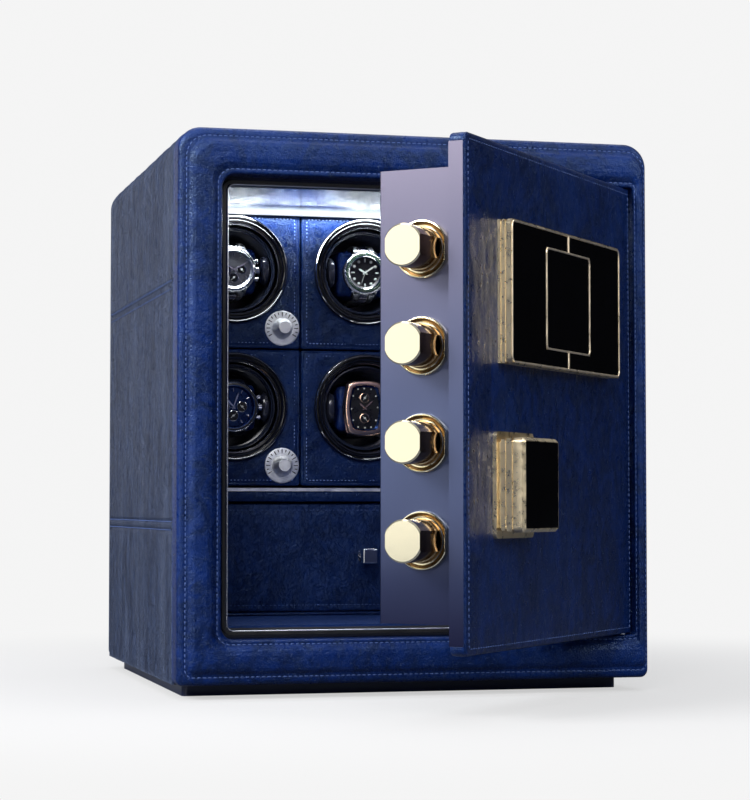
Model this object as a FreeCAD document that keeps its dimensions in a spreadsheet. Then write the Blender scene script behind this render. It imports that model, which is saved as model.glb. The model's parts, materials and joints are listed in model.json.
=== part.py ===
import FreeCAD, Part
import math
import os
from types import SimpleNamespace
import Sketcher
from FreeCAD import Placement, Rotation, Vector

# A watch winder safe: a leather-covered cabinet with six winders above a drawer, and a bolted door.
# The frame: X to the right seen from the front, Y towards the back, Z up.
# The origin is on the floor, under the middle of the cabinet. Lengths are in millimetres.
# The door stands open, and its pieces are drawn in the door's own frame, whose Z axis is the hinge line.

DRIVING_SIZES = [
    # the cabinet
    ("cab_width", 420), ("cab_depth", 420), ("cab_height", 472), ("skin_thick", 2),
    ("plinth_height", 12), ("plinth_side", 13), ("plinth_front", 48), ("plinth_back", 20),
    ("corner_round", 20), ("base_round", 6), ("edge_round", 5), ("back_thick", 12), ("frame_thick", 24),
    ("open_left", 172), ("open_right", 198), ("open_low", 50), ("open_high", 445),
    ("open_round", 12), ("hinge_round", 3),
    ("lip_width", 8.5), ("lip_rise", 6.5), ("lip_thick", 4), ("lip_rebate", 6),
    ("seal_width", 2.5), ("seal_thick", 3.5), ("seal_inset", 3.5),
    ("inner_half", 189), ("inner_low", 61), ("inner_high", 439), ("inner_back", 390), ("lining_thick", 2),
    ("bay_half", 150), ("bay_low", 26), ("bay_high", 46), ("bay_front", 60),
    ("inlet_side", 120), ("inlet_radius", 6), ("inlet_bore", 2.75), ("inlet_long", 24),
    # the winders: three across and two high
    ("panel_depth", 186), ("panel_thick", 10), ("panel_gap", 1.6), ("cell_pitch", 126), ("cell_rise", 128),
    ("cell_low", 181), ("ring_lift", 10), ("ring_radius", 49.4), ("bore_radius", 45), ("ring_bore", 42.5),
    ("cup_radius", 40), ("cup_wall", 2.5), ("cup_front", 4), ("cup_back", 90), ("hub_radius", 7),
    ("barrel_radius", 47), ("barrel_wall", 4), ("barrel_back", 97),
    ("motor_radius", 18.5), ("motor_long", 50), ("shaft_radius", 3), ("shaft_end", 112),
    ("run_gap", 0.06), ("pad_inner", 27.5), ("pad_outer", 36.8),
    ("cushion_wide", 52), ("cushion_tall", 48), ("cushion_deep", 66), ("cushion_front", 14),
    ("dial_radius", 16.5), ("dial_side", 45.2), ("dial_drop", 44.5), ("dial_thick", 2),
    ("knob_radius", 9.5), ("knob_front", 5.5), ("knob_long", 13),
    # the shelf and the drawer
    ("shelf_low", 167), ("shelf_thick", 12.5), ("deck_thick", 2.8),
    ("drawer_low", 64.4), ("drawer_high", 165), ("drawer_half", 187.5), ("drawer_recess", 6),
    ("front_thick", 10), ("tray_half", 182), ("tray_high", 156), ("tray_long", 184), ("tray_wall", 8),
    ("pull_height", 116), ("pull_half", 7), ("pull_front", 25), ("pull_thick", 11),
    ("neck_radius", 4.5), ("screw_radius", 2),
    # the door, with distances measured from its hinge axis
    ("hinge_side", 188.5), ("hinge_depth", 7), ("hinge_edge", 6), ("door_angle", 49.4), ("pin_radius", 3),
    ("pin_reach", 14), ("door_width", 363), ("door_low", 51.3), ("door_high", 443.7), ("door_round", 6),
    ("pad_thick", 1.8), ("plate_thick", 11.7), ("band_tall", 7), ("edge_cut", 4), ("sheet_thick", 2),
    ("box_deep", 65), ("box_free", 15.5), ("box_hinge", 26), ("box_low", 73.5), ("box_high", 419.7),
    # the bolt work
    ("bolt_radius", 16.3), ("bolt_flat", 14.3), ("bolt_low", 136.7), ("bolt_pitch", 73.7),
    ("bolt_depth", 34.5), ("bolt_throw", 37.5), ("bolt_inside", 12.5),
    ("collar_radius", 22.5), ("collar_thick", 5), ("groove_deep", 2.4),
    ("strike_radius", 18), ("strike_deep", 9.5), ("strike_thick", 1.5),
    ("carriage_wide", 12), ("carriage_thick", 14), ("carriage_high", 374),
    ("gear_module", 2.5), ("gear_teeth", 20), ("gear_thick", 6), ("latch_radius", 4), ("latch_gap", 1.5),
    # the handle and the keypad
    ("handle_side", 270), ("handle_height", 179), ("handle_wide", 72), ("handle_tall", 72.5),
    ("handle_proud", 26.5), ("plate_wide", 75), ("plate_tall", 82), ("plate_proud", 4), ("spindle_radius", 6),
    ("inlay_thick", 1.5), ("inlay_rim", 3), ("bevel_wide", 2.4),
    ("keypad_side", 177), ("keypad_height", 328.2), ("keypad_wide", 240), ("keypad_tall", 112),
    ("keypad_proud", 12.3), ("keypad_rim", 2.4), ("screen_wide", 97), ("screen_tall", 82), ("rib_wide", 2.4),
]

doc = FreeCAD.newDocument("watch_winder_safe")
pieces = []
carved = []


# ---------------------------------------------------------------- sizes and formulas

class Size:
    """A number together with the spreadsheet formula that it comes from."""

    def __init__(self, value, text):
        self.value = value
        self.text = text

    def __add__(self, other):
        other = sized(other)
        return Size(self.value + other.value, f"({self.text} + {other.text})")

    def __sub__(self, other):
        other = sized(other)
        return Size(self.value - other.value, f"({self.text} - {other.text})")

    def __mul__(self, other):
        other = sized(other)
        return Size(self.value * other.value, f"({self.text} * {other.text})")

    def __truediv__(self, other):
        other = sized(other)
        return Size(self.value / other.value, f"({self.text} / {other.text})")

    def __neg__(self):
        return Size(-self.value, f"(-{self.text})")

    __radd__ = __add__
    __rmul__ = __mul__

    def __rsub__(self, other):
        return sized(other) - self


def sized(number):
    """A plain number as a Size, and a Size as it is."""
    return number if isinstance(number, Size) else Size(number, repr(number))


def cosine(angle):
    return Size(math.cos(math.radians(angle.value)), f"cos({angle.text})")


def sine(angle):
    return Size(math.sin(math.radians(angle.value)), f"sin({angle.text})")


def bind(thing, path, size):
    thing.setExpression(path, sized(size).text)


def make_sheet(rows):
    """Write the driving sizes to the spreadsheet and return them as Sizes by name."""
    sheet = doc.addObject("Spreadsheet::Sheet", "dims")
    names = {}
    for row, (alias, value) in enumerate(rows, start=1):
        sheet.set(f"A{row}", alias)
        sheet.set(f"B{row}", str(value))
        sheet.setAlias(f"B{row}", alias)
        names[alias] = Size(value, f"dims.{alias}")
    doc.recompute()
    return SimpleNamespace(**names)


d = make_sheet(DRIVING_SIZES)


# ---------------------------------------------------------------- Part primitives

def place(thing, x=0, y=0, z=0):
    for axis, size in zip("xyz", (x, y, z)):
        bind(thing, f"Placement.Base.{axis}", size)


def block(name, x_span, y_span, z_span):
    """A box between two values on each axis."""
    box = doc.addObject("Part::Box", name)
    for side, span in zip(("Length", "Width", "Height"), (x_span, y_span, z_span)):
        bind(box, side, span[1] - span[0])
    place(box, x_span[0], y_span[0], z_span[0])
    return box


def rod(name, axis, start, radius, length):
    """A cylinder from start, running in the positive direction of an axis."""
    turn = {"X": Rotation(Vector(0, 1, 0), 90), "Y": Rotation(Vector(1, 0, 0), -90), "Z": Rotation()}[axis]
    cylinder = doc.addObject("Part::Cylinder", name)
    cylinder.Placement = Placement(Vector(), turn)
    bind(cylinder, "Radius", radius)
    bind(cylinder, "Height", length)
    place(cylinder, *start)
    return cylinder


def join(name, members):
    whole = doc.addObject("Part::MultiFuse", name)
    whole.Shapes = members
    return whole


def cut(name, base, tools):
    """The base with every tool taken away from it."""
    result = doc.addObject("Part::Cut", name)
    result.Base = base
    result.Tool = tools[0] if len(tools) == 1 else join(name + "_tools", tools)
    return result


def common(name, base, tool):
    result = doc.addObject("Part::Common", name)
    result.Base = base
    result.Tool = tool
    return result


def group(name, members):
    """Separate identical solids that share one sub-part."""
    whole = doc.addObject("Part::Compound", name)
    whole.Links = members
    return whole


# ---------------------------------------------------------------- PartDesign bodies

def new_body(name):
    return doc.addObject("PartDesign::Body", name)


def sketch_on(body, plane, height):
    """A sketch parallel to an origin plane of the body, at a height on that plane's third axis."""
    drawing = body.newObject("Sketcher::SketchObject", f"{body.Name}_sketch")
    origin_plane = [item for item in body.Origin.OriginFeatures if item.Role == f"{plane}_Plane"][0]
    drawing.AttachmentSupport = [(origin_plane, "")]
    drawing.MapMode = "FlatFace"
    # the normal of the XZ plane points to -Y
    bind(drawing, "AttachmentOffset.Base.z", -sized(height) if plane == "XZ" else height)
    return drawing


def rect(left, right, low, high):
    return [(left, low), (right, low), (right, high), (left, high)]


def centred(half_wide, half_tall):
    return rect(-sized(half_wide), sized(half_wide), -sized(half_tall), sized(half_tall))


def disc(across, up, radius):
    return SimpleNamespace(across=across, up=up, radius=radius)


def fix_point(drawing, geometry, vertex, across, up):
    """Hold one point of a sketch at its two distances from the sketch's origin."""
    for kind, size in (("DistanceX", sized(across)), ("DistanceY", sized(up))):
        index = drawing.addConstraint(Sketcher.Constraint(kind, -1, 1, geometry, vertex, size.value))
        bind(drawing, f"Constraints[{index}]", size)


def draw(drawing, shape):
    """Draw a circle, or the closed outline through a list of corners."""
    if isinstance(shape, SimpleNamespace):
        centre = Vector(sized(shape.across).value, sized(shape.up).value, 0)
        circle = Part.Circle(centre, Vector(0, 0, 1), sized(shape.radius).value)
        geometry = drawing.addGeometry(circle)
        fix_point(drawing, geometry, 3, shape.across, shape.up)
        index = drawing.addConstraint(Sketcher.Constraint("Radius", geometry, sized(shape.radius).value))
        bind(drawing, f"Constraints[{index}]", shape.radius)
        return
    corners = [Vector(sized(across).value, sized(up).value, 0) for across, up in shape]
    lines = [drawing.addGeometry(Part.LineSegment(start, end))
             for start, end in zip(corners, corners[1:] + corners[:1])]
    for line, following in zip(lines, lines[1:] + lines[:1]):
        drawing.addConstraint(Sketcher.Constraint("Coincident", line, 2, following, 1))
    for line, (across, up) in zip(lines, shape):
        fix_point(drawing, line, 1, across, up)


def extrude(body, plane, start, length, *shapes):
    """Add the shapes, extruded from start in the positive direction of the plane's third axis."""
    drawing = sketch_on(body, plane, start)
    for shape in shapes:
        draw(drawing, shape)
    pad = body.newObject("PartDesign::Pad", f"{body.Name}_pad")
    pad.Profile = drawing
    pad.Reversed = plane == "XZ"
    bind(pad, "Length", length)
    return pad


def carve(body, plane, start, length, *shapes):
    """Remove the shapes, cut from start in the positive direction of the plane's third axis."""
    drawing = sketch_on(body, plane, start)
    for shape in shapes:
        draw(drawing, shape)
    before = body.Tip
    pocket = body.newObject("PartDesign::Pocket", f"{body.Name}_pocket")
    pocket.Profile = drawing
    pocket.Reversed = plane != "XZ"
    bind(pocket, "Length", length)
    carved.append((before, pocket))
    return pocket


def lathe(name, profile, axis="Y"):
    """A turned piece: profile lists (radius, distance along the axis)."""
    body = new_body(name)
    drawing = sketch_on(body, "XY", 0)
    draw(drawing, profile if axis == "Y" else [(along, radius) for radius, along in profile])
    turned = body.newObject("PartDesign::Revolution", f"{name}_turned")
    turned.Profile = drawing
    turned.ReferenceAxis = (drawing, ["V_Axis" if axis == "Y" else "H_Axis"])
    turned.Angle = 360
    return body


def soften(body, radius, chosen):
    """Round every edge of the body for which chosen(middle, direction) holds."""
    doc.recompute()
    tip = body.Tip
    names = []
    for number, edge in enumerate(tip.Shape.Edges, start=1):
        middle = edge.valueAt((edge.FirstParameter + edge.LastParameter) / 2)
        start, end = edge.valueAt(edge.FirstParameter), edge.valueAt(edge.LastParameter)
        if chosen(middle, end - start):
            names.append(f"Edge{number}")
    fillet = body.newObject("PartDesign::Fillet", f"{body.Name}_round")
    fillet.Base = (tip, names)
    bind(fillet, "Radius", radius)


def runs_back(direction):
    return abs(direction.x) + abs(direction.z) < 1e-6


def finished(thing, label):
    thing.Label = label
    pieces.append(thing)
    return thing


# ---------------------------------------------------------------- places that many pieces share

def at(depth):
    """The Y of a depth behind the cabinet's front face."""
    return depth - d.cab_depth / 2


BASE = d.plinth_height
TOP = d.plinth_height + d.cab_height
SIDE = d.cab_width / 2
CORE_SIDE = SIDE - d.skin_thick
CORE_TOP = TOP - d.skin_thick
SHELL_BACK = d.cab_depth - d.back_thick
BOLT_HEIGHTS = [d.bolt_low + d.bolt_pitch * step for step in range(4)]
ROWS = {"bottom": 0, "top": 1}
COLUMNS = {"left": -1, "centre": 0, "right": 1}
DRAWER_FACE = at(d.panel_depth + d.drawer_recess)
CELLS = {f"{row}_{column}": (COLUMNS[column], ROWS[row]) for row in ROWS for column in COLUMNS}


def cell_centre(cell):
    """The X and Z of the middle of a winder's panel."""
    column, row = CELLS[cell]
    return d.cell_pitch * column, d.cell_low + d.cell_rise * (row + 0.5)


def ring_centre(cell):
    across, up = cell_centre(cell)
    return across, up + d.ring_lift


def dial_centre(cell):
    across, up = cell_centre(cell)
    return across + d.dial_side, up - d.dial_drop


def on_panel(thing, spot):
    """Put a piece at a spot of the winder panels' front plane."""
    place(thing, spot[0], at(d.panel_depth), spot[1])
    return thing


def strike_holes(radius):
    """Round openings in the left wall, where the bolts land when the door is shut."""
    depth = at(d.hinge_depth + d.bolt_depth)
    return [disc(depth, height, radius) for height in BOLT_HEIGHTS]


# ---------------------------------------------------------------- the cabinet

def cabinet_body():
    body = new_body("cabinet_body")
    depth = SHELL_BACK - d.frame_thick
    hollow = d.inner_half + d.lining_thick
    extrude(body, "XZ", at(d.frame_thick), depth, rect(-CORE_SIDE, CORE_SIDE, BASE, CORE_TOP))
    carve(body, "XZ", at(d.frame_thick), depth,
          rect(-hollow, hollow, d.inner_low - d.lining_thick, d.inner_high + d.lining_thick))
    carve(body, "XZ", at(d.bay_front), SHELL_BACK - d.bay_front,
          rect(-d.bay_half, d.bay_half, d.bay_low, d.bay_high))
    carve(body, "YZ", -hollow - d.strike_deep, d.strike_deep, *strike_holes(d.strike_radius))
    soften(body, d.corner_round - d.skin_thick, top_corner)
    return body


def top_corner(middle, direction):
    high = middle.z > TOP.value - 2 * d.skin_thick.value
    wide = abs(middle.x) > SIDE.value - 2 * d.skin_thick.value
    return runs_back(direction) and high and wide


def leather_wrap():
    body = new_body("leather_wrap")
    depth = SHELL_BACK - d.frame_thick
    extrude(body, "XZ", at(d.frame_thick), depth, rect(-SIDE, SIDE, BASE, TOP))
    carve(body, "XZ", at(d.frame_thick), depth, rect(-CORE_SIDE, CORE_SIDE, BASE - 1, CORE_TOP))
    outer_side = SIDE.value - d.skin_thick.value / 2
    soften(body, d.corner_round, lambda middle, way: top_corner(middle, way) and abs(middle.x) > outer_side)
    soften(body, d.corner_round - d.skin_thick,
           lambda middle, way: top_corner(middle, way) and abs(abs(middle.x) - CORE_SIDE.value) < 1e-6)
    return body


def outer_corner(high):
    """Chooses the front-to-back edges at the cabinet's top corners, or at its bottom ones."""
    def chosen(middle, direction):
        level = TOP.value if high else BASE.value
        return runs_back(direction) and abs(abs(middle.x) - SIDE.value) < 1e-6 and abs(middle.z - level) < 1e-6
    return chosen


def outer_rim(face):
    """Chooses the outline of the cabinet where it meets the plane Y = face."""
    def chosen(middle, direction):
        near_side = middle.x < -SIDE.value + 8 or middle.x > SIDE.value - 8
        near_end = middle.z < BASE.value + 8 or middle.z > TOP.value - 8
        in_face = abs(middle.y - face) < 1e-6 and abs(direction.y) < 1e-6
        return in_face and (near_side or near_end)
    return chosen


def front_frame():
    body = new_body("front_frame")
    reach = d.lip_rebate
    extrude(body, "XZ", at(0), d.frame_thick, rect(-SIDE, SIDE, BASE, TOP))
    carve(body, "XZ", at(0), d.frame_thick, rect(-d.open_left, d.open_right, d.open_low, d.open_high))
    for radius, side in ((d.open_round, -d.open_left.value), (d.hinge_round, d.open_right.value)):
        soften(body, radius, lambda middle, way: runs_back(way) and abs(middle.x - side) < 1e-6)
    carve(body, "XZ", at(d.frame_thick - d.lip_thick), d.lip_thick,
          rect(-d.open_left - reach, d.open_right + reach, d.open_low - reach, d.open_high + reach))
    pin = disc(d.hinge_side, at(d.hinge_depth), d.pin_radius)
    carve(body, "XY", d.open_low - d.pin_reach, d.pin_reach + 1, pin)
    carve(body, "XY", d.open_high - 1, d.pin_reach + 1, pin)
    soften(body, d.corner_round, outer_corner(True))
    soften(body, d.base_round, outer_corner(False))
    soften(body, d.edge_round, outer_rim(at(0).value))
    return body


def back_panel():
    body = new_body("back_panel")
    inlet = disc(d.inlet_side, (d.bay_low + d.bay_high) / 2, d.inlet_radius)
    extrude(body, "XZ", at(SHELL_BACK), d.back_thick, rect(-SIDE, SIDE, BASE, TOP))
    carve(body, "XZ", at(SHELL_BACK), d.back_thick, inlet)
    soften(body, d.corner_round, outer_corner(True))
    soften(body, d.base_round, outer_corner(False))
    soften(body, d.edge_round, outer_rim(at(d.cab_depth).value))
    return body


def base_plinth():
    body = new_body("base_plinth")
    side = SIDE - d.plinth_side
    extrude(body, "XY", 0, d.plinth_height,
            rect(-side, side, at(d.plinth_front), at(d.cab_depth - d.plinth_back)))
    soften(body, d.edge_round, lambda middle, way: abs(way.x) + abs(way.y) < 1e-6)
    return body


def frame_ring(name, depth, thick, outer, inner, outer_round, inner_round):
    """A flat picture frame. Its insets from the door opening are (side, rise) pairs."""
    body = new_body(name)
    spans = []
    for side, rise in (outer, inner):
        spans.append(rect(side - d.open_left, d.open_right - side, d.open_low + rise, d.open_high - rise))
    extrude(body, "XZ", at(depth), thick, spans[0])
    if outer_round is not None:
        soften(body, outer_round, lambda middle, way: runs_back(way))
    carve(body, "XZ", at(depth), thick, spans[1])
    inner_left = sized(spans[1][0][0]).value
    inner_right = sized(spans[1][1][0]).value
    soften(body, inner_round, lambda middle, way: runs_back(way) and (
        abs(middle.x - inner_left) < 1e-6 or abs(middle.x - inner_right) < 1e-6))
    return body


def jamb_frame():
    outer = (-d.lip_rebate, -d.lip_rebate)
    inner = (d.lip_width, d.lip_rise)
    return frame_ring("jamb_frame", d.frame_thick - d.lip_thick, d.lip_thick, outer, inner, None, d.base_round)


def door_seal():
    outer = (d.seal_inset, d.seal_inset)
    inner = (d.seal_inset + d.seal_width, d.seal_inset + d.seal_width)
    depth = d.frame_thick - d.lip_thick - d.seal_thick
    return frame_ring("door_seal", depth, d.seal_thick, outer, inner, d.open_round - d.seal_inset, d.base_round)


def strike_plate():
    body = new_body("strike_plate")
    middle = d.hinge_depth + d.bolt_depth
    low, high = d.inner_low + 8, d.inner_high - 8
    extrude(body, "YZ", -d.inner_half, d.strike_thick,
            rect(at(d.frame_thick + 1), at(middle + 24), low, high))
    carve(body, "YZ", -d.inner_half, d.strike_thick, *strike_holes(d.strike_radius))
    return body


def interior_lining():
    body = new_body("interior_lining")
    outer = d.inner_half + d.lining_thick
    depth = SHELL_BACK - d.frame_thick
    extrude(body, "XZ", at(d.frame_thick), depth,
            rect(-outer, outer, d.inner_low - d.lining_thick, d.inner_high + d.lining_thick))
    carve(body, "XZ", at(d.frame_thick), depth,
          rect(-d.inner_half, d.inner_half, d.inner_low, d.inner_high))
    carve(body, "YZ", -outer, d.lining_thick, *strike_holes(d.strike_radius))
    return body


def ceiling_mirror():
    body = new_body("ceiling_mirror")
    side, thick = d.inner_half - 1, 1.5
    extrude(body, "XY", d.inner_high - thick, thick,
            rect(-side, side, at(d.frame_thick + 5), at(d.panel_depth - 17)))
    return body


def light_channel():
    """An angle of sheet metal that holds the lamp strip under the ceiling."""
    body = new_body("light_channel")
    front, back = at(d.panel_depth - 16), at(d.panel_depth - 2)
    high, low, wall = d.inner_high, d.inner_high - 5, 1.2
    extrude(body, "YZ", 2 - d.inner_half, d.inner_half * 2 - 4,
            [(front, high), (front, high - wall), (back - wall, high - wall), (back - wall, low),
             (back, low), (back, high)])
    return body


def lamp_strip():
    body = new_body("lamp_strip")
    side = d.inner_half - 3
    extrude(body, "XY", d.inner_high - 4.4, 3.2,
            rect(-side, side, at(d.panel_depth - 15), at(d.panel_depth - 3.2)))
    return body


def hinge_pins():
    lower = rod("lower_pin", "Z", (d.hinge_side, at(d.hinge_depth), d.open_low - d.pin_reach),
                d.pin_radius, d.pin_reach * 2 + d.door_low - d.open_low)
    upper = rod("upper_pin", "Z", (d.hinge_side, at(d.hinge_depth), d.door_high - d.pin_reach),
                d.pin_radius, d.pin_reach * 2 + d.open_high - d.door_high)
    return group("hinge_pins", [lower, upper])


def power_inlet():
    """A round socket for a low-voltage plug, flush with the back."""
    inside = d.inlet_long
    jack = lathe("power_inlet", [(0, 0), (d.inlet_radius, 0), (d.inlet_radius, inside),
                                 (d.inlet_bore, inside), (d.inlet_bore, 4), (0, 4)])
    place(jack, d.inlet_side, at(d.cab_depth - inside), (d.bay_low + d.bay_high) / 2)
    return jack


def power_board():
    left, right, front, back = 55, 145, 330, 392
    board = block("board", (sized(left), sized(right)), (at(front), at(back)),
                  (d.bay_low + 4, d.bay_low + 5.6))
    posts = []
    for x in (left + 5, right - 5):
        for y in (front + 5, back - 5):
            posts.append(rod("board_post", "Z", (x, at(y), d.bay_low), 3, 4))
    return join("power_board", [board] + posts)


# ---------------------------------------------------------------- the winders

def winder_panels():
    panels = []
    half_wide = (d.cell_pitch - d.panel_gap) / 2
    half_high = (d.cell_rise - d.panel_gap) / 2
    for cell in CELLS:
        across, up = cell_centre(cell)
        board = block("panel_board", (across - half_wide, across + half_wide),
                      (at(d.panel_depth), at(d.panel_depth + d.panel_thick)),
                      (up - half_high, up + half_high))
        window = rod("panel_window", "Y", (ring_centre(cell)[0], at(d.panel_depth), ring_centre(cell)[1]),
                     d.bore_radius, d.panel_thick)
        hole = rod("panel_hole", "Y", (dial_centre(cell)[0], at(d.panel_depth), dial_centre(cell)[1]),
                   d.shaft_radius + d.run_gap, d.panel_thick)
        panels.append(cut("panel", board, [window, hole]))
    return group("winder_panels", panels)


def bezel_rings():
    rings = []
    for cell in CELLS:
        ring = lathe("bezel", [(d.ring_bore, -3), (d.ring_bore + 1.5, -5), (d.ring_radius - 1.5, -5),
                               (d.ring_radius, -3), (d.ring_radius, 0), (d.bore_radius, 0),
                               (d.bore_radius, d.panel_thick), (d.ring_bore, d.panel_thick)])
        rings.append(on_panel(ring, ring_centre(cell)))
    return group("bezel_rings", rings)


def winder_barrels():
    """Fixed buckets behind the panels, one around each turning cup."""
    barrels = []
    inside = d.barrel_radius - d.barrel_wall
    for cell in CELLS:
        barrel = lathe("barrel", [(inside, d.panel_thick), (d.barrel_radius, d.panel_thick),
                                  (d.barrel_radius, d.barrel_back), (9, d.barrel_back),
                                  (9, d.barrel_back - 3), (inside, d.barrel_back - 3)])
        barrels.append(on_panel(barrel, ring_centre(cell)))
    return group("winder_barrels", barrels)


def gear_motors():
    motors = []
    bore = d.shaft_radius + d.run_gap
    face = d.barrel_back + 3
    for cell in CELLS:
        motor = lathe("motor", [(9, d.barrel_back), (12, d.barrel_back), (12, face), (d.motor_radius, face),
                                (d.motor_radius, face + d.motor_long), (0, face + d.motor_long),
                                (0, d.shaft_end + 1.6), (bore, d.shaft_end + 1.6), (bore, face), (9, face)])
        motors.append(on_panel(motor, ring_centre(cell)))
    return group("gear_motors", motors)


def speed_dials():
    dials = []
    for cell in CELLS:
        bore = d.shaft_radius + d.run_gap
        dial = lathe("dial", [(bore, -d.dial_thick), (d.dial_radius - 0.6, -d.dial_thick),
                              (d.dial_radius, 0.6 - d.dial_thick), (d.dial_radius, 0), (bore, 0)])
        dials.append(on_panel(dial, dial_centre(cell)))
    return group("speed_dials", dials)


def winder_cup(cell):
    """The turning cup with its hub, its drive shaft and the two side pads that grip a cushion."""
    inside = d.cup_radius - d.cup_wall
    hub_end = d.barrel_back + 2
    floor = d.cup_back - 3
    shell = lathe("cup_shell", [(inside, d.cup_front), (d.cup_radius, d.cup_front),
                                (d.cup_radius, d.cup_back), (d.hub_radius, d.cup_back),
                                (d.hub_radius, hub_end), (d.shaft_radius, hub_end),
                                (d.shaft_radius, d.shaft_end), (0, d.shaft_end), (0, floor), (inside, floor)])
    depth = (d.cup_front + 2, d.cup_front + 36)
    height = (sized(-14.5), sized(14.5))
    pads = [block("side_pad", (d.pad_inner, d.pad_outer), depth, height),
            block("side_pad", (-d.pad_outer, -d.pad_inner), depth, height)]
    return on_panel(join(f"winder_cup_{cell}", [shell] + pads), ring_centre(cell))


def watch_cushion(cell):
    body = new_body(f"watch_cushion_{cell}")
    wide, tall = d.cushion_wide / 2, d.cushion_tall / 2
    extrude(body, "XZ", d.cushion_front, d.cushion_deep, rect(-wide, wide, -tall, tall))
    soften(body, 8, lambda middle, way: True)
    return on_panel(body, ring_centre(cell))


def speed_knob(cell):
    """A conical turned knob with grip flutes and a shaft through the dial and the panel."""
    front = -d.dial_thick - d.knob_long
    under = 0 - d.dial_thick - 0.4
    turned = lathe("knob_turned", [(0, front), (d.knob_front, front), (d.knob_radius, under - 2),
                                   (d.knob_radius, under), (d.shaft_radius, under),
                                   (d.shaft_radius, d.panel_thick + 2), (0, d.panel_thick + 2)])
    flutes = []
    for step in range(12):
        turn = math.radians(step * 30)
        centre = d.knob_radius + 0.4
        flutes.append(rod("flute", "Y", (centre * round(math.cos(turn), 6), front - 1,
                                         centre * round(math.sin(turn), 6)), 1.3, d.knob_long - 3))
    return on_panel(cut(f"speed_knob_{cell}", turned, flutes), dial_centre(cell))


# ---------------------------------------------------------------- the shelf and the drawer

def shelf():
    body = new_body("shelf")
    extrude(body, "XZ", at(d.panel_depth + 2), d.inner_back - d.panel_depth - 2,
            rect(-d.inner_half, d.inner_half, d.shelf_low, d.shelf_low + d.shelf_thick))
    return body


def shelf_trim():
    """A bright nosing along the shelf's front edge."""
    body = new_body("shelf_trim")
    high = d.shelf_low + d.shelf_thick
    extrude(body, "YZ", -d.inner_half, d.inner_half * 2,
            rect(at(d.panel_depth - 1), at(d.panel_depth + 2), high - 3, high))
    return body


def drawer_deck():
    body = new_body("drawer_deck")
    extrude(body, "XZ", at(d.panel_depth), d.inner_back - d.panel_depth,
            rect(-d.inner_half, d.inner_half, d.inner_low, d.inner_low + d.deck_thick))
    return body


def drawer_front():
    body = new_body("drawer_front")
    extrude(body, "XZ", DRAWER_FACE, d.front_thick,
            rect(-d.drawer_half, d.drawer_half, d.drawer_low, d.drawer_high))
    carve(body, "XZ", DRAWER_FACE, d.front_thick, disc(0, d.pull_height, d.screw_radius))
    return body


def drawer_tray():
    body = new_body("drawer_tray")
    front = DRAWER_FACE + d.front_thick
    inside = d.tray_half - d.tray_wall
    extrude(body, "XY", d.drawer_low, d.tray_high - d.drawer_low,
            rect(-d.tray_half, d.tray_half, front, front + d.tray_long))
    carve(body, "XY", d.drawer_low + 6, d.tray_high - d.drawer_low - 6,
          rect(-inside, inside, front + d.tray_wall, front + d.tray_long - d.tray_wall))
    return body


def drawer_knob():
    """A square pull on a round neck."""
    body = new_body("drawer_knob")
    neck_front = d.pull_thick - d.pull_front - 0.5
    foot = 2
    extrude(body, "XZ", -d.pull_front, d.pull_thick, centred(d.pull_half, d.pull_half))
    soften(body, 1.2, lambda middle, way: True)
    extrude(body, "XZ", neck_front, -neck_front - foot + 0.5, disc(0, 0, d.neck_radius))
    extrude(body, "XZ", -foot, foot, disc(0, 0, d.pull_half))
    extrude(body, "XZ", 0, d.front_thick, disc(0, 0, d.screw_radius))
    place(body, 0, DRAWER_FACE, d.pull_height)
    return body


# ---------------------------------------------------------------- the door

FREE = d.hinge_edge - d.door_width
SKIN = -d.hinge_depth
PLATE = SKIN + d.pad_thick
PLATE_BACK = PLATE + d.plate_thick
BOX_FREE = FREE + d.box_free
BOX_HINGE = d.hinge_edge - d.box_hinge
SPINDLE = disc(-d.handle_side, d.handle_height, d.spindle_radius + d.run_gap)
PIN_HOLE = disc(0, 0, d.pin_radius + d.run_gap)


def hang(thing, x=0, y=0, z=0):
    """Put a piece on the open door, at a place in the door's own frame."""
    thing.Placement = Placement(Vector(), Rotation(Vector(0, 0, 1), d.door_angle.value))
    bind(thing, "Placement.Rotation.Angle", d.door_angle)
    turned_x = cosine(d.door_angle) * x - sine(d.door_angle) * y
    turned_y = sine(d.door_angle) * x + cosine(d.door_angle) * y
    place(thing, d.hinge_side + turned_x, at(d.hinge_depth) + turned_y, z)
    return thing


def free_corner(middle, direction):
    """Chooses the front-to-back edges at the door's two free corners."""
    at_end = abs(middle.z - d.door_low.value) < 1e-6 or abs(middle.z - d.door_high.value) < 1e-6
    return runs_back(direction) and abs(middle.x - FREE.value) < 1e-6 and at_end


def door_plate():
    body = new_body("door_plate")
    low, high = d.door_low + d.band_tall, d.door_high - d.band_tall
    deep = d.pin_reach - d.band_tall + 0.5
    extrude(body, "XY", low, high - low,
            [(FREE, PLATE), (d.hinge_edge - d.edge_cut, PLATE), (d.hinge_edge, PLATE + d.edge_cut),
             (d.hinge_edge, PLATE_BACK), (FREE, PLATE_BACK)])
    carve(body, "XZ", PLATE, d.plate_thick, SPINDLE)
    carve(body, "XY", low, deep, PIN_HOLE)
    carve(body, "XY", high - deep, deep, PIN_HOLE)
    return hang(body)


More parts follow.
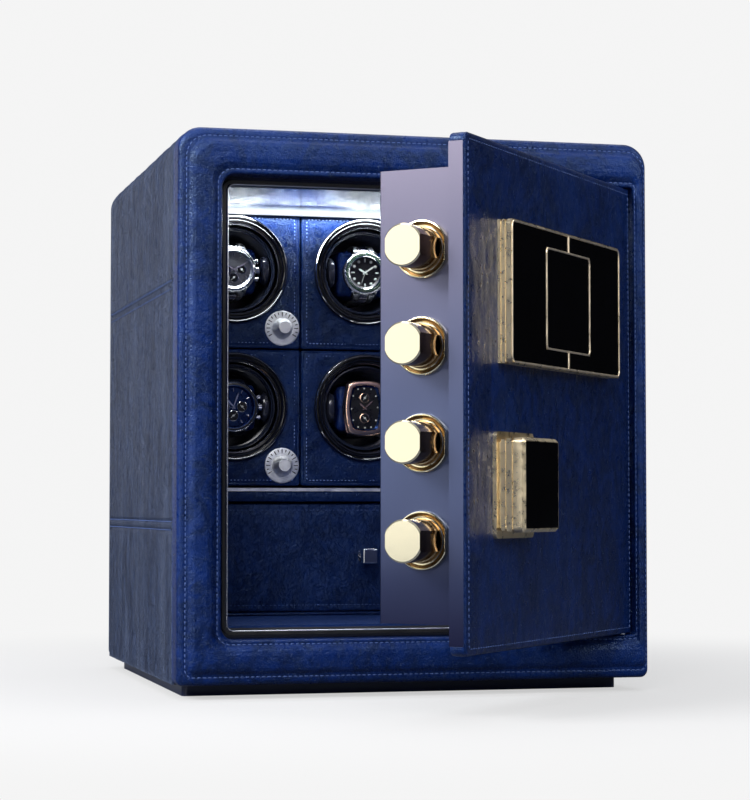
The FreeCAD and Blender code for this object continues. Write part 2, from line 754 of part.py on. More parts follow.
def door_leather():
    """The padded face, with thick bands that cover the top and bottom edges of the plate."""
    body = new_body("door_leather")
    right = d.hinge_edge - d.edge_cut
    band = d.band_tall
    extrude(body, "XZ", SKIN, d.pad_thick, rect(FREE, right, d.door_low, d.door_high))
    lower_band = rect(FREE, right, d.door_low, d.door_low + band)
    upper_band = rect(FREE, right, d.door_high - band, d.door_high)
    extrude(body, "XZ", PLATE, d.plate_thick, lower_band, upper_band)
    soften(body, d.door_round, free_corner)
    carve(body, "XZ", SKIN, d.pad_thick, SPINDLE)
    carve(body, "XY", d.door_low, band, PIN_HOLE)
    carve(body, "XY", d.door_high - band, band, PIN_HOLE)
    return hang(body)


def bolt_housing():
    """The sheet-metal box behind the plate, open towards it, that covers the bolt work."""
    body = new_body("bolt_housing")
    wall = d.sheet_thick
    extrude(body, "XZ", PLATE_BACK, d.box_deep, rect(BOX_FREE, BOX_HINGE, d.box_low, d.box_high))
    carve(body, "XZ", PLATE_BACK, d.box_deep - wall,
          rect(BOX_FREE + wall, BOX_HINGE - wall, d.box_low + wall, d.box_high - wall))
    carve(body, "YZ", BOX_FREE, wall,
          *[disc(d.bolt_depth, height, d.bolt_radius + 1.7) for height in BOLT_HEIGHTS])
    outside = (BOX_FREE.value, BOX_HINGE.value)
    back = (PLATE_BACK + d.box_deep).value
    soften(body, 1.5, lambda middle, way: abs(way.x) + abs(way.y) < 1e-6
           and min(abs(middle.x - edge) for edge in outside) < 1e-6 and abs(middle.y - back) < 1e-6)
    return hang(body)


def bolt_section(name, face, end, radius, flat):
    """A round bar along X with a flat on the front and on the back."""
    bar = rod(f"{name}_bar", "X", (face, 0, 0), radius, end - face)
    slab = block(f"{name}_slab", (face - 1, end + 1), (-sized(flat), sized(flat)), (-radius - 1, radius + 1))
    return common(name, bar, slab)


def bolt_collars():
    """Guide rings with two flats and a V-shaped groove, each bored to the section of its bolt."""
    collars = []
    face = BOX_FREE - d.collar_thick
    neck_end = BOX_FREE + d.sheet_thick + 1
    neck = d.bolt_radius + 1.6
    inside = d.bolt_flat - 2
    groove = d.collar_radius - 2.7
    for height in BOLT_HEIGHTS:
        ring = lathe("collar_ring", [(inside, face), (groove - 1.5, face), (groove, face + d.groove_deep),
                                     (groove + 1.5, face + 0.6), (d.collar_radius - 0.5, face + 0.6),
                                     (d.collar_radius, face + 1.2), (d.collar_radius, BOX_FREE),
                                     (neck, BOX_FREE), (neck, neck_end), (inside, neck_end)], "X")
        flats = d.collar_radius - 2
        slab = block("collar_slab", (face - 1, BOX_FREE + 10), (-flats, flats),
                     (-d.collar_radius - 1, d.collar_radius + 1))
        bore = bolt_section("collar_bore", face - 1, neck_end + 1,
                            d.bolt_radius + d.run_gap, d.bolt_flat + d.run_gap)
        collar = cut("collar", common("collar_outside", ring, slab), [bore])
        place(collar, 0, d.bolt_depth, height)
        collars.append(collar)
    return hang(group("bolt_collars", collars))


def locking_bolts():
    """Four round bars with a flat on the front and on the back."""
    bolts = []
    tip = BOX_FREE - d.bolt_throw
    end = BOX_FREE + d.bolt_inside
    for height in BOLT_HEIGHTS:
        bar = lathe("bolt_bar", [(0, tip), (d.bolt_radius - 1.2, tip), (d.bolt_radius, tip + 1.2),
                                 (d.bolt_radius, end), (0, end)], "X")
        bolt = common("bolt", bar, bolt_section("bolt_outline", tip - 1, end + 1, d.bolt_radius, d.bolt_flat))
        place(bolt, 0, d.bolt_depth, height)
        bolts.append(bolt)
    return hang(group("locking_bolts", bolts))


CARRIAGE = BOX_FREE + d.bolt_inside
RACK_Y = PLATE_BACK + 2
PITCH_RADIUS = d.gear_module * d.gear_teeth / 2
PITCH_LINE = d.handle_height + PITCH_RADIUS
RACK_ROOT = PITCH_LINE + d.gear_module * 0.84
RACK_TIP = PITCH_LINE - d.gear_module * 0.64
RACK_STEP = d.gear_module * round(math.pi, 6)


def bolt_carriage():
    """The bar that the four bolts are fixed to, with a rack that the handle's pinion drives."""
    body = new_body("bolt_carriage")
    wide = d.carriage_wide
    low = d.bolt_low - 12
    rack_high = RACK_ROOT + 10
    extrude(body, "XZ", d.bolt_depth - d.carriage_thick / 2, d.carriage_thick,
            rect(CARRIAGE, CARRIAGE + wide, low, d.carriage_high))
    extrude(body, "XZ", RACK_Y, d.bolt_depth - d.carriage_thick / 2 - RACK_Y,
            rect(CARRIAGE, CARRIAGE + wide, RACK_ROOT, rack_high))
    extrude(body, "XZ", RACK_Y, d.gear_thick,
            rect(CARRIAGE + wide, RACK_STEP * 3 - d.handle_side, RACK_ROOT, rack_high))
    teeth = []
    for step in range(-6, 2):
        middle = RACK_STEP * (step + 0.5) - d.handle_side
        teeth.append([(middle - 2.56, RACK_ROOT), (middle - 1.22, RACK_TIP),
                      (middle + 1.22, RACK_TIP), (middle + 2.56, RACK_ROOT)])
    extrude(body, "XZ", RACK_Y, d.gear_thick, *teeth)
    carve(body, "XY", d.carriage_high - 6, 6,
          disc(CARRIAGE + wide / 2, d.bolt_depth, d.latch_radius + d.run_gap))
    return hang(body)


def lock_solenoid():
    """The coil that drives the latch, on a bracket behind the door plate."""
    across = CARRIAGE + d.carriage_wide / 2
    low = d.carriage_high + 10
    coil = rod("coil", "Z", (across, d.bolt_depth, low), 11, 30)
    bracket = block("bracket", (across - 9, across + 9), (PLATE_BACK, d.bolt_depth - 8), (low + 2, low + 28))
    bore = rod("coil_bore", "Z", (across, d.bolt_depth, low), d.latch_radius + d.run_gap, 26)
    return hang(cut("lock_solenoid", join("solenoid_body", [coil, bracket]), [bore]))


def latch_plunger():
    plunger = lathe("plunger_turned", [(0, 0), (d.latch_radius - 0.8, 0), (d.latch_radius, 0.8),
                                       (d.latch_radius, 30), (0, 30)])
    plunger.Placement = Placement(Vector(), Rotation(Vector(1, 0, 0), 90))
    place(plunger, CARRIAGE + d.carriage_wide / 2, d.bolt_depth, d.carriage_high + d.latch_gap)
    return hang(group("latch_plunger", [plunger]))


def lock_board():
    left, low, wide, high = sized(-232), sized(282), 104, 84
    post_long, inset = 5, 6
    front = PLATE_BACK + post_long
    board = block("lock_pcb", (left, left + wide), (front, front + 1.6), (low, low + high))
    posts = []
    for x in (left + inset, left + wide - inset):
        for z in (low + inset, low + high - inset):
            posts.append(rod("lock_post", "Y", (x, PLATE_BACK, z), 3, post_long))
    return hang(join("lock_board", [board] + posts))


# ---------------------------------------------------------------- the keypad

def keypad_frame():
    """A stack of gold layers with pockets in its front for three sheets of black glass."""
    body = new_body("keypad_frame")
    front = SKIN - d.keypad_proud
    layers = [(0, 4.4, 0), (4.4, 1.2, 1.6), (5.6, 2.6, 0.4), (8.2, 1.2, 1.8), (9.4, 2.9, 0.4)]
    for start, thick, inset in layers:
        outline = keypad_rect(d.keypad_wide / 2 - inset, d.keypad_tall / 2 - inset)
        extrude(body, "XZ", front + start, thick, outline)
    soften(body, 5, lambda middle, way: runs_back(way) and abs(way.y) > 3 and middle.y < front.value + 3)
    carve(body, "XZ", front, d.inlay_thick, keypad_side_outline(-1), keypad_side_outline(1),
          keypad_rect(d.screen_wide / 2 - 1.6, d.screen_tall / 2 - 1.6))
    return hang(body)


def keypad_rect(half_wide, half_tall):
    """A rectangle about the middle of the keypad."""
    return rect(-half_wide - d.keypad_side, half_wide - d.keypad_side,
                d.keypad_height - half_tall, d.keypad_height + half_tall)


def keypad_side_outline(side):
    """The C-shaped pane on one side: -1 is the free side of the door, 1 the hinge side."""
    rib = d.rib_wide / 2 * side - d.keypad_side
    ring = d.screen_wide / 2 * side - d.keypad_side
    rim = (d.keypad_wide / 2 - d.keypad_rim) * side - d.keypad_side
    half_tall = d.keypad_tall / 2 - d.keypad_rim
    low, high = d.keypad_height - half_tall, d.keypad_height + half_tall
    ring_low, ring_high = d.keypad_height - d.screen_tall / 2, d.keypad_height + d.screen_tall / 2
    return [(rim, low), (rib, low), (rib, ring_low), (ring, ring_low),
            (ring, ring_high), (rib, ring_high), (rib, high), (rim, high)]


def keypad_glass():
    panes = []
    for side in (-1, 1):
        pane = new_body("keypad_pane")
        extrude(pane, "XZ", SKIN - d.keypad_proud, d.inlay_thick, keypad_side_outline(side))
        panes.append(pane)
    return hang(group("keypad_glass", panes))


def keypad_screen():
    body = new_body("keypad_screen")
    extrude(body, "XZ", SKIN - d.keypad_proud, d.inlay_thick,
            keypad_rect(d.screen_wide / 2 - 1.6, d.screen_tall / 2 - 1.6))
    return hang(body)


# ---------------------------------------------------------------- the handle

def on_spindle(thing):
    return hang(thing, -d.handle_side, 0, d.handle_height)


def handle_plate():
    """The fixed escutcheon behind the handle."""
    body = new_body("handle_plate")
    extrude(body, "XZ", SKIN - d.plate_proud, d.plate_proud, centred(d.plate_wide / 2, d.plate_tall / 2))
    soften(body, 4, lambda middle, way: runs_back(way))
    carve(body, "XZ", SKIN - d.plate_proud, d.plate_proud, disc(0, 0, d.spindle_radius + d.run_gap))
    return on_spindle(body)


HANDLE_FACE = SKIN - d.handle_proud
HANDLE_BACK = SKIN - d.plate_proud - 0.3
SOCKET_END = HANDLE_FACE + 8


def handle_block():
    """The stepped block that is turned by hand, with a pocket for its glass face."""
    body = new_body("handle_block")
    wide, tall = d.handle_wide / 2, d.handle_tall / 2
    steps = [(0, 9.4, 0), (9.4, 1.4, 2.4), (10.8, 4.4, 0.8),
             (15.2, 1.4, 2.6), (16.6, 3.4, 1.4), (20, 2.2, 3.4)]
    for start, thick, inset in steps:
        extrude(body, "XZ", HANDLE_FACE + start, thick, centred(wide - inset, tall - inset))
    face = HANDLE_FACE.value
    soften(body, 4, lambda middle, way: runs_back(way) and abs(way.y) > 5 and middle.y < face + 6)
    chamfer_front(body, face, d.bevel_wide)
    carve(body, "XZ", HANDLE_FACE, d.inlay_thick, centred(wide - d.inlay_rim, tall - d.inlay_rim))
    carve(body, "XZ", SOCKET_END, HANDLE_BACK - SOCKET_END, disc(0, 0, d.spindle_radius))
    return on_spindle(body)


def chamfer_front(body, face, amount):
    """Bevel the outline of the body's front face."""
    doc.recompute()
    tip = body.Tip
    names = []
    for number, edge in enumerate(tip.Shape.Edges, start=1):
        if all(abs(vertex.Point.y - face) < 1e-6 for vertex in edge.Vertexes):
            names.append(f"Edge{number}")
    bevel = body.newObject("PartDesign::Chamfer", f"{body.Name}_bevel")
    bevel.Base = (tip, names)
    bind(bevel, "Size", amount)


def handle_inlay():
    body = new_body("handle_inlay")
    extrude(body, "XZ", HANDLE_FACE, d.inlay_thick,
            centred(d.handle_wide / 2 - d.inlay_rim, d.handle_tall / 2 - d.inlay_rim))
    return on_spindle(body)


def handle_spindle():
    """The shaft through the door with the pinion that moves the bolts."""
    body = new_body("handle_spindle")
    root = PITCH_RADIUS - d.gear_module * 0.92
    tip = PITCH_RADIUS + d.gear_module * 0.64
    extrude(body, "XZ", SOCKET_END, RACK_Y - SOCKET_END, disc(0, 0, d.spindle_radius))
    extrude(body, "XZ", RACK_Y, d.gear_thick, disc(0, 0, root))
    tooth = extrude(body, "XZ", RACK_Y, d.gear_thick,
                    [(-2.6, root - 0.6), (2.6, root - 0.6), (1.2, tip), (-1.2, tip)])
    turn_axis = [item for item in body.Origin.OriginFeatures if item.Role == "Y_Axis"][0]
    pattern = body.newObject("PartDesign::PolarPattern", "pinion_teeth")
    pattern.Originals = [tooth]
    pattern.Axis = (turn_axis, [""])
    pattern.Angle = 360
    bind(pattern, "Occurrences", d.gear_teeth)
    body.Tip = pattern
    return on_spindle(body)


# ---------------------------------------------------------------- the whole safe

SINGLE_PIECES = [
    cabinet_body, leather_wrap, front_frame, back_panel, base_plinth, jamb_frame, door_seal, strike_plate,
    interior_lining, ceiling_mirror, light_channel, lamp_strip, hinge_pins, power_inlet, power_board,
    winder_panels, bezel_rings, winder_barrels, gear_motors, speed_dials,
    shelf, shelf_trim, drawer_deck, drawer_front, drawer_tray, drawer_knob,
    door_plate, door_leather, bolt_housing, bolt_collars, lock_solenoid, latch_plunger, lock_board,
    locking_bolts, bolt_carriage, keypad_frame, keypad_glass, keypad_screen,
    handle_plate, handle_block, handle_inlay, handle_spindle,
]

for make in SINGLE_PIECES:
    finished(make(), make.__name__)
for make in (winder_cup, watch_cushion, speed_knob):
    for cell in CELLS:
        finished(make(cell), f"{make.__name__}_{cell}")

doc.recompute()

for thing in doc.Objects:
    if "Invalid" in thing.State or "Error" in thing.State:
        raise RuntimeError(f"{thing.Name} ({thing.Label}) is {thing.State}")
for before, pocket in carved:
    if pocket.Shape.Volume > before.Shape.Volume - 1e-3:
        raise RuntimeError(f"{pocket.Name} removes nothing")
for piece in pieces:
    if piece.Shape.isNull() or not piece.Shape.isValid():
        raise RuntimeError(f"{piece.Label} has no valid shape")

os.makedirs("parts", exist_ok=True)
for piece in pieces:
    piece.Shape.exportStep(f"parts/{piece.Label}.step")
print(len(pieces), "sub-parts written")
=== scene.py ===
import json
import math
import bmesh
import bpy
import numpy as np
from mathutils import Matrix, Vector


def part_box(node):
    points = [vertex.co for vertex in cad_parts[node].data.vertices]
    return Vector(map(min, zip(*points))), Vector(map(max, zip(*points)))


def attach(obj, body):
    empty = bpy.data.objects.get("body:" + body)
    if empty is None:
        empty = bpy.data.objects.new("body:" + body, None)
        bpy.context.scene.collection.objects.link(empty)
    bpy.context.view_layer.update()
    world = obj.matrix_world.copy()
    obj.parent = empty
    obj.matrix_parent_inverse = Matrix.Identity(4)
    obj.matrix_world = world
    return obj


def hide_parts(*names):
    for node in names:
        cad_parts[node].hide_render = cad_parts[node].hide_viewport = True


# The looks of a leather-covered watch winder safe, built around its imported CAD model.
# Shapes are worked out in millimetres and turned to metres when a mesh is made.
# X is to the right seen from the front, Y towards the back and Z up.

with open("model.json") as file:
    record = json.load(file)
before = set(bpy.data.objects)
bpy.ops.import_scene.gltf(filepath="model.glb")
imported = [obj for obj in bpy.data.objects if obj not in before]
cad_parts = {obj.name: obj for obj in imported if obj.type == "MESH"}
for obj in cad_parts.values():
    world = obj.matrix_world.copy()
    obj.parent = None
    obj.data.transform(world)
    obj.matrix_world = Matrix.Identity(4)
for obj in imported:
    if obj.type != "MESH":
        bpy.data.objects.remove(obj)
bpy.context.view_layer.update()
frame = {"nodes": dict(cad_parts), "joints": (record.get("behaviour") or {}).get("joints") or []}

MM = 0.001
LIP_REBATE = 6
FRAME_THICK = 24
WRAP_RADIUS = 20
SHARP_EDGE = math.radians(38)
CELLS = [f"{row}_{column}" for row in ("bottom", "top") for column in ("left", "centre", "right")]


def span(node):
    """Lowest and highest corner of a CAD node, in millimetres."""
    low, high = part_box(node)
    return np.array(low) / MM, np.array(high) / MM


def joint(name):
    """A joint of the CAD model, with its place and axis in metres."""
    return next(found for found in frame["joints"] if found["name"] == name)


HINGE = np.array(joint("door_hinge")["pos_m"]) / MM
BOLT_AXIS = joint("bolt_slide")["axis"]
DOOR_ANGLE = math.atan2(BOLT_AXIS[1], BOLT_AXIS[0])
SHELL_LOW, SHELL_HIGH = span("front_frame")
JAMB_LOW, JAMB_HIGH = span("jamb_frame")
OPEN_LOW, OPEN_HIGH = JAMB_LOW + LIP_REBATE, JAMB_HIGH - LIP_REBATE
FRONT = SHELL_LOW[1]


# ---------------------------------------------------------------- smooth noise

def hashed(column, row, seed):
    """A number between 0 and 1 for each pair of whole numbers."""
    mixed = (column * 374761393 + row * 668265263 + seed * 982451653) & 0xFFFFFFFF
    mixed = ((mixed ^ (mixed >> 13)) * 1274126177) & 0xFFFFFFFF
    return (mixed ^ (mixed >> 16)) / 0xFFFFFFFF


def noise(u, v, seed=0):
    """Smooth noise between -1 and 1."""
    column, row = np.floor(u).astype(np.int64), np.floor(v).astype(np.int64)
    across, up = u - column, v - row
    across, up = across * across * (3 - 2 * across), up * up * (3 - 2 * up)
    low = hashed(column, row, seed) * (1 - across) + hashed(column + 1, row, seed) * across
    high = hashed(column, row + 1, seed) * (1 - across) + hashed(column + 1, row + 1, seed) * across
    return (low * (1 - up) + high * up) * 2 - 1


def creases(u, v, seed=0, octaves=3):
    """Ridged noise between -1 and 0: sharp folds between soft swells."""
    total = np.zeros(np.broadcast(u, v).shape)
    weight = 1.0
    for octave in range(octaves):
        step = 2 ** octave
        bend = noise(u * step * 0.6 + 31, v * step * 0.6 + 17, seed + 50 + octave) * 0.8
        total -= weight * (1 - np.abs(noise(u * step + bend, v * step - bend, seed + octave))) ** 4
        weight *= 0.5
    return total / 1.8


# ---------------------------------------------------------------- mesh making

class Build:
    """Collects surfaces with their materials, then makes one object from them."""

    def __init__(self):
        self.points, self.faces, self.slots, self.materials = [], [], [], []
        self.count = 0

    def add(self, surface, material, move=None):
        points, faces = surface
        points = np.asarray(points, float).reshape(-1, 3)
        if move is not None:
            points = move(points)
        if material not in self.materials:
            self.materials.append(material)
        self.points.append(points)
        self.faces += [[index + self.count for index in face] for face in faces]
        self.slots += [self.materials.index(material)] * len(faces)
        self.count += len(points)
        return self

    def make(self, name, body, slot, replaces=()):
        mesh = bpy.data.meshes.new(name)
        mesh.from_pydata(np.concatenate(self.points) * MM, [], self.faces)
        for material in self.materials:
            mesh.materials.append(material)
        mesh.polygons.foreach_set("material_index", self.slots)
        work = bmesh.new()
        work.from_mesh(mesh)
        bmesh.ops.recalc_face_normals(work, faces=work.faces)
        work.to_mesh(mesh)
        work.free()
        mesh.shade_smooth()
        mesh.set_sharp_from_angle(angle=SHARP_EDGE)
        thing = bpy.data.objects.new(name, mesh)
        bpy.context.scene.collection.objects.link(thing)
        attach(thing, body)
        if replaces:
            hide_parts(*replaces)
        return thing


def quads(rows, columns, close_rows=False, close_columns=False):
    """Faces over a grid of points numbered row by row."""
    faces = []
    for row in range(rows if close_rows else rows - 1):
        this, following = row * columns, (row + 1) % rows * columns
        for column in range(columns if close_columns else columns - 1):
            after = (column + 1) % columns
            faces.append((this + column, this + after, following + after, following + column))
    return faces


def tube(loops, close=False):
    """Closed loops of points joined one after another. The ends are filled, or joined to each other."""
    loops = np.asarray(loops, float)
    rows, columns = loops.shape[:2]
    faces = quads(rows, columns, close_rows=close, close_columns=True)
    if not close:
        faces.append(tuple(range(columns)))
        faces.append(tuple(range((rows - 1) * columns, rows * columns)))
    return loops.reshape(-1, 3), faces


def sheet(front, back):
    """A solid between two grids of points of the same size, joined round their borders."""
    rows, columns = front.shape[:2]
    half = rows * columns
    faces = quads(rows, columns)
    faces += [tuple(index + half for index in reversed(face)) for face in faces]
    border = [column for column in range(columns)]
    border += [row * columns + columns - 1 for row in range(1, rows)]
    border += [(rows - 1) * columns + column for column in range(columns - 2, -1, -1)]
    border += [row * columns for row in range(rows - 2, 0, -1)]
    for start, end in zip(border, border[1:] + border[:1]):
        faces.append((start, end, end + half, start + half))
    return np.concatenate([front.reshape(-1, 3), back.reshape(-1, 3)]), faces


def ring_points(centre, radius, count, start=0.0):
    turn = start + np.arange(count) * 2 * math.pi / count
    return np.stack([centre[0] + radius * np.cos(turn), centre[1] + radius * np.sin(turn)], 1)


def lathe(profile, centre=(0, 0, 0), count=96, close=False):
    """A turned surface about an axis along Y: profile lists (radius, Y)."""
    loops = []
    for radius, depth in profile:
        circle = ring_points((0, 0), max(radius, 0.01), count)
        loops.append(np.stack([circle[:, 0], np.full(count, depth), circle[:, 1]], 1) + centre)
    return tube(loops, close)


def rounded(left, right, low, high, radii, counts=(60, 60), corner=8):
    """Points round a rectangle with rounded corners, from the lower left corner anticlockwise.
    radii is one number, or the four corners' own from the lower left one anticlockwise."""
    radii = [max(r, 0.01) for r in (radii if isinstance(radii, (tuple, list)) else [radii] * 4)]
    centres = [(left + radii[0], low + radii[0]), (right - radii[1], low + radii[1]),
               (right - radii[2], high - radii[2]), (left + radii[3], high - radii[3])]
    points = []
    for index, (across, up) in enumerate(centres):
        begin = math.pi * (1 + index / 2)
        for step in range(corner + 1):
            turn = begin + step / corner * math.pi / 2
            points.append((across + radii[index] * math.cos(turn), up + radii[index] * math.sin(turn)))
        next_across, next_up = centres[(index + 1) % 4]
        after = radii[(index + 1) % 4]
        turn = begin + math.pi / 2
        goal = np.array([next_across + after * math.cos(turn), next_up + after * math.sin(turn)])
        count = counts[index % 2]
        for step in range(1, count):
            points.append(tuple(np.array(points[-1]) + (goal - points[-1]) / (count - step + 1)))
    return np.array(points)


def upright(flat, depth):
    """Points of an X and Z plane at a depth Y, which may be one number or one for each point."""
    return np.stack([flat[:, 0], np.broadcast_to(depth, len(flat)), flat[:, 1]], 1)


def unit(vectors):
    """Vectors scaled to a length of 1."""
    return vectors / np.linalg.norm(vectors, axis=-1)[..., None]


def compass(turn):
    """For an angle in an upright plane, the unit vector that way and the one a quarter turn on."""
    return np.array([math.cos(turn), 0, math.sin(turn)]), np.array([-math.sin(turn), 0, math.cos(turn)])


def distances(path):
    """How far along a path each of its points is."""
    return np.concatenate([[0], np.cumsum(np.linalg.norm(np.diff(path, axis=0), axis=1))])


def border_distance(x, z, left, right, low, high):
    """How far inside a rectangle's nearest side each point is."""
    return np.minimum(np.minimum(x - left, right - x), np.minimum(z - low, high - z))


def squarish(wave):
    """A sine or cosine swelled, so that the circle it would draw has flatter sides."""
    return math.copysign(abs(wave) ** 0.6, wave)


def along(path, pitch, closed=True):
    """Evenly spaced points on a path, about pitch apart, with the unit tangent at each."""
    if closed:
        path = np.concatenate([path, path[:1]])
    length = distances(path)
    count = max(int(length[-1] / pitch), 1)
    places = (np.arange(count) + 0.5) * length[-1] / count

    def spot(distance):
        return np.stack([np.interp(distance, length, path[:, axis]) for axis in range(3)], 1)

    tangent = spot(places + 0.3) - spot(places - 0.3)
    return spot(places), unit(tangent)


# A stitch's cross sections: place along it, width and height above the seam, as shares of its sizes.
STITCH_ROWS = ((-0.5, 0.35, -0.45), (-0.34, 0.9, 0.0), (0.0, 1.0, 0.12), (0.34, 0.9, 0.0), (0.5, 0.35, -0.45))
STITCH_SIDES = 6


def stitches(path, outward, pitch=4.6, length=3.1, radius=0.42, closed=True):
    """Sewn thread along a path: a small rounded stitch at each step, sunk at both of its ends."""
    spots, tangents = along(path, pitch, closed)
    outward = np.broadcast_to(np.asarray(outward, float), spots.shape)
    sides = np.cross(tangents, outward)
    points, faces = [], []
    around = [(math.cos(a), math.sin(a)) for a in np.arange(STITCH_SIDES) * 2 * math.pi / STITCH_SIDES]
    grid = quads(len(STITCH_ROWS), STITCH_SIDES, close_columns=True)
    last_row = (len(STITCH_ROWS) - 1) * STITCH_SIDES
    for spot, tangent, side, out in zip(spots, tangents, sides, outward):
        base = len(points)
        for reach, swell, lift in STITCH_ROWS:
            middle = spot + tangent * reach * length + out * lift * radius
            for across, up in around:
                points.append(middle + (side * across + out * up) * radius * swell)
        faces += [tuple(index + base for index in face) for face in grid]
        faces += [tuple(start + step for step in range(STITCH_SIDES)) for start in (base, base + last_row)]
    return np.array(points), faces


def sweep(path, normal, section):
    """A section of (side, out) pairs carried along a path. Each pair may change along the path."""
    side = unit(np.cross(unit(np.gradient(path, axis=0)), normal))
    section = np.broadcast_to(section, (len(path), *np.shape(section)[-2:]))
    loops = [[spot + across * s + up * n for across, up in pairs]
             for spot, s, n, pairs in zip(path, side, normal, section)]
    return tube(np.array(loops))


def bead(path, radius, count=8):
    """A round cord along a closed path that lies in an upright plane."""
    along_path = np.roll(path, -1, 0) - np.roll(path, 1, 0)
    outward = unit(np.cross(along_path, (0, 1, 0)))
    loops = [path + outward * radius * math.cos(turn) + np.array([0, radius * math.sin(turn), 0])
             for turn in np.arange(count) * 2 * math.pi / count]
    return tube(np.array(loops), close=True)


def centred_outline(half_wide, half_tall, radius, counts=(30, 30), corner=5):
    return rounded(-half_wide, half_wide, -half_tall, half_tall, radius, counts, corner)


def brick(middle, axes, halves, bevel=0.3):
    """A box with eased edges. Its three axes are unit vectors, and halves are its half sizes along them."""
    first, second, third = [np.asarray(axis, float) for axis in axes]
    loops = []
    for reach, inset in ((-1, bevel), (-1 + bevel / halves[0], 0), (1 - bevel / halves[0], 0), (1, bevel)):
        outline = rounded(-halves[1] + inset, halves[1] - inset, -halves[2] + inset, halves[2] - inset,
                          bevel, (1, 1), 2)
        loops.append([middle + first * reach * halves[0] + second * u + third * v for u, v in outline])
    return tube(np.array(loops))


def on_door(points):
    """From the door's own frame, whose Z axis is the hinge line, to the open door's place."""
    cosine, sine = math.cos(DOOR_ANGLE), math.sin(DOOR_ANGLE)
    x, y, z = points[:, 0], points[:, 1], points[:, 2]
    return np.stack([HINGE[0] + x * cosine - y * sine, HINGE[1] + x * sine + y * cosine, z], 1)


# ---------------------------------------------------------------- materials

class Shader:
    """A node material put together from a few calls."""

    def __init__(self, name):
        self.material = bpy.data.materials.new(name)
        self.material.use_nodes = True
        self.tree = self.material.node_tree
        self.tree.nodes.clear()
        self.output = self.tree.nodes.new("ShaderNodeOutputMaterial")
        self.surface = self.tree.nodes.new("ShaderNodeBsdfPrincipled")
        self.link(self.surface.outputs[0], self.output.inputs["Surface"])
        self.place = self.tree.nodes.new("ShaderNodeTexCoord").outputs["Object"]

    def link(self, source, socket):
        self.tree.links.new(source, socket)

    def put(self, socket, value):
        """Set a socket to a number or colour, or link it to another node's output."""
        if isinstance(value, bpy.types.NodeSocket):
            self.link(value, socket)
        else:
            socket.default_value = value

    def stretched(self, stretch):
        """Object coordinates divided along each axis, so that a pattern grows longer that way."""
        mapping = self.tree.nodes.new("ShaderNodeMapping")
        self.link(self.place, mapping.inputs["Vector"])
        mapping.inputs["Scale"].default_value = [1 / s for s in stretch]
        return mapping.outputs[0]

    def noise(self, size, detail=3, rough=0.55, stretch=(1, 1, 1), warp=0.0):
        """Noise whose features are about size millimetres across."""
        node = self.tree.nodes.new("ShaderNodeTexNoise")
        self.link(self.stretched(stretch), node.inputs["Vector"])
        node.inputs["Scale"].default_value = 1 / (size * MM)
        node.inputs["Detail"].default_value = detail
        node.inputs["Roughness"].default_value = rough
        node.inputs["Distortion"].default_value = warp
        return node.outputs["Fac"]

    def cells(self, size, feature="F1", stretch=(1, 1, 1)):
        """Distance within a cell pattern of about size millimetres."""
        node = self.tree.nodes.new("ShaderNodeTexVoronoi")
        self.link(self.stretched(stretch), node.inputs["Vector"])
        node.feature = feature
        node.inputs["Scale"].default_value = 1 / (size * MM)
        return node.outputs["Distance"]

    def span(self, value, low, high, to_low=0.0, to_high=1.0):
        """A value mapped from one range to another, smoothly and within bounds."""
        node = self.tree.nodes.new("ShaderNodeMapRange")
        node.interpolation_type = "SMOOTHSTEP"
        self.put(node.inputs["Value"], value)
        for key, number in (("From Min", low), ("From Max", high), ("To Min", to_low), ("To Max", to_high)):
            self.put(node.inputs[key], number)
        return node.outputs[0]

    def maths(self, kind, first, second=0.0):
        node = self.tree.nodes.new("ShaderNodeMath")
        node.operation = kind
        self.put(node.inputs[0], first)
        self.put(node.inputs[1], second)
        return node.outputs[0]

    def ridge(self, value, width):
        """1 along the lines where a noise crosses its middle, fading to 0 on both sides."""
        return self.span(self.maths("ABSOLUTE", self.maths("SUBTRACT", value, 0.5)), width, 0.0)

    def mix(self, factor, first, second):
        """A blend of two colours."""
        node = self.tree.nodes.new("ShaderNodeMix")
        node.data_type = "RGBA"
        self.put(node.inputs["Factor"], factor)
        self.put(node.inputs["A"], first if isinstance(first, bpy.types.NodeSocket) else (*first, 1))
        self.put(node.inputs["B"], second if isinstance(second, bpy.types.NodeSocket) else (*second, 1))
        return node.outputs["Result"]

    def height(self):
        """Object coordinate Z, in metres."""
        node = self.tree.nodes.new("ShaderNodeSeparateXYZ")
        self.link(self.place, node.inputs[0])
        return node.outputs["Z"]

    def edges(self, low=0.5, high=0.6):
        """1 on sharp outer edges, where a painted highlight goes, and 0 elsewhere."""
        node = self.tree.nodes.new("ShaderNodeNewGeometry")
        return self.span(node.outputs["Pointiness"], low, high)

    def bump(self, height, depth):
        """Chains a bump of a depth in millimetres onto the surface."""
        node = self.tree.nodes.new("ShaderNodeBump")
        node.inputs["Distance"].default_value = depth * MM
        node.inputs["Strength"].default_value = 1.0
        self.link(height, node.inputs["Height"])
        socket = self.surface.inputs["Normal"]
        if socket.is_linked:
            self.link(socket.links[0].from_socket, node.inputs["Normal"])
        self.link(node.outputs[0], socket)

    def set(self, **values):
        for key, value in values.items():
            socket = self.surface.inputs[key.replace("_", " ")]
            if key == "Base_Color" and not isinstance(value, bpy.types.NodeSocket):
                value = (*value, 1)
            self.put(socket, value)
        return self.material


# Tint of the pale painted glints along the leather's veins, which stand in for highlights on its grain.
GLINT_TINT = (0.0, 0.012, 0.035)


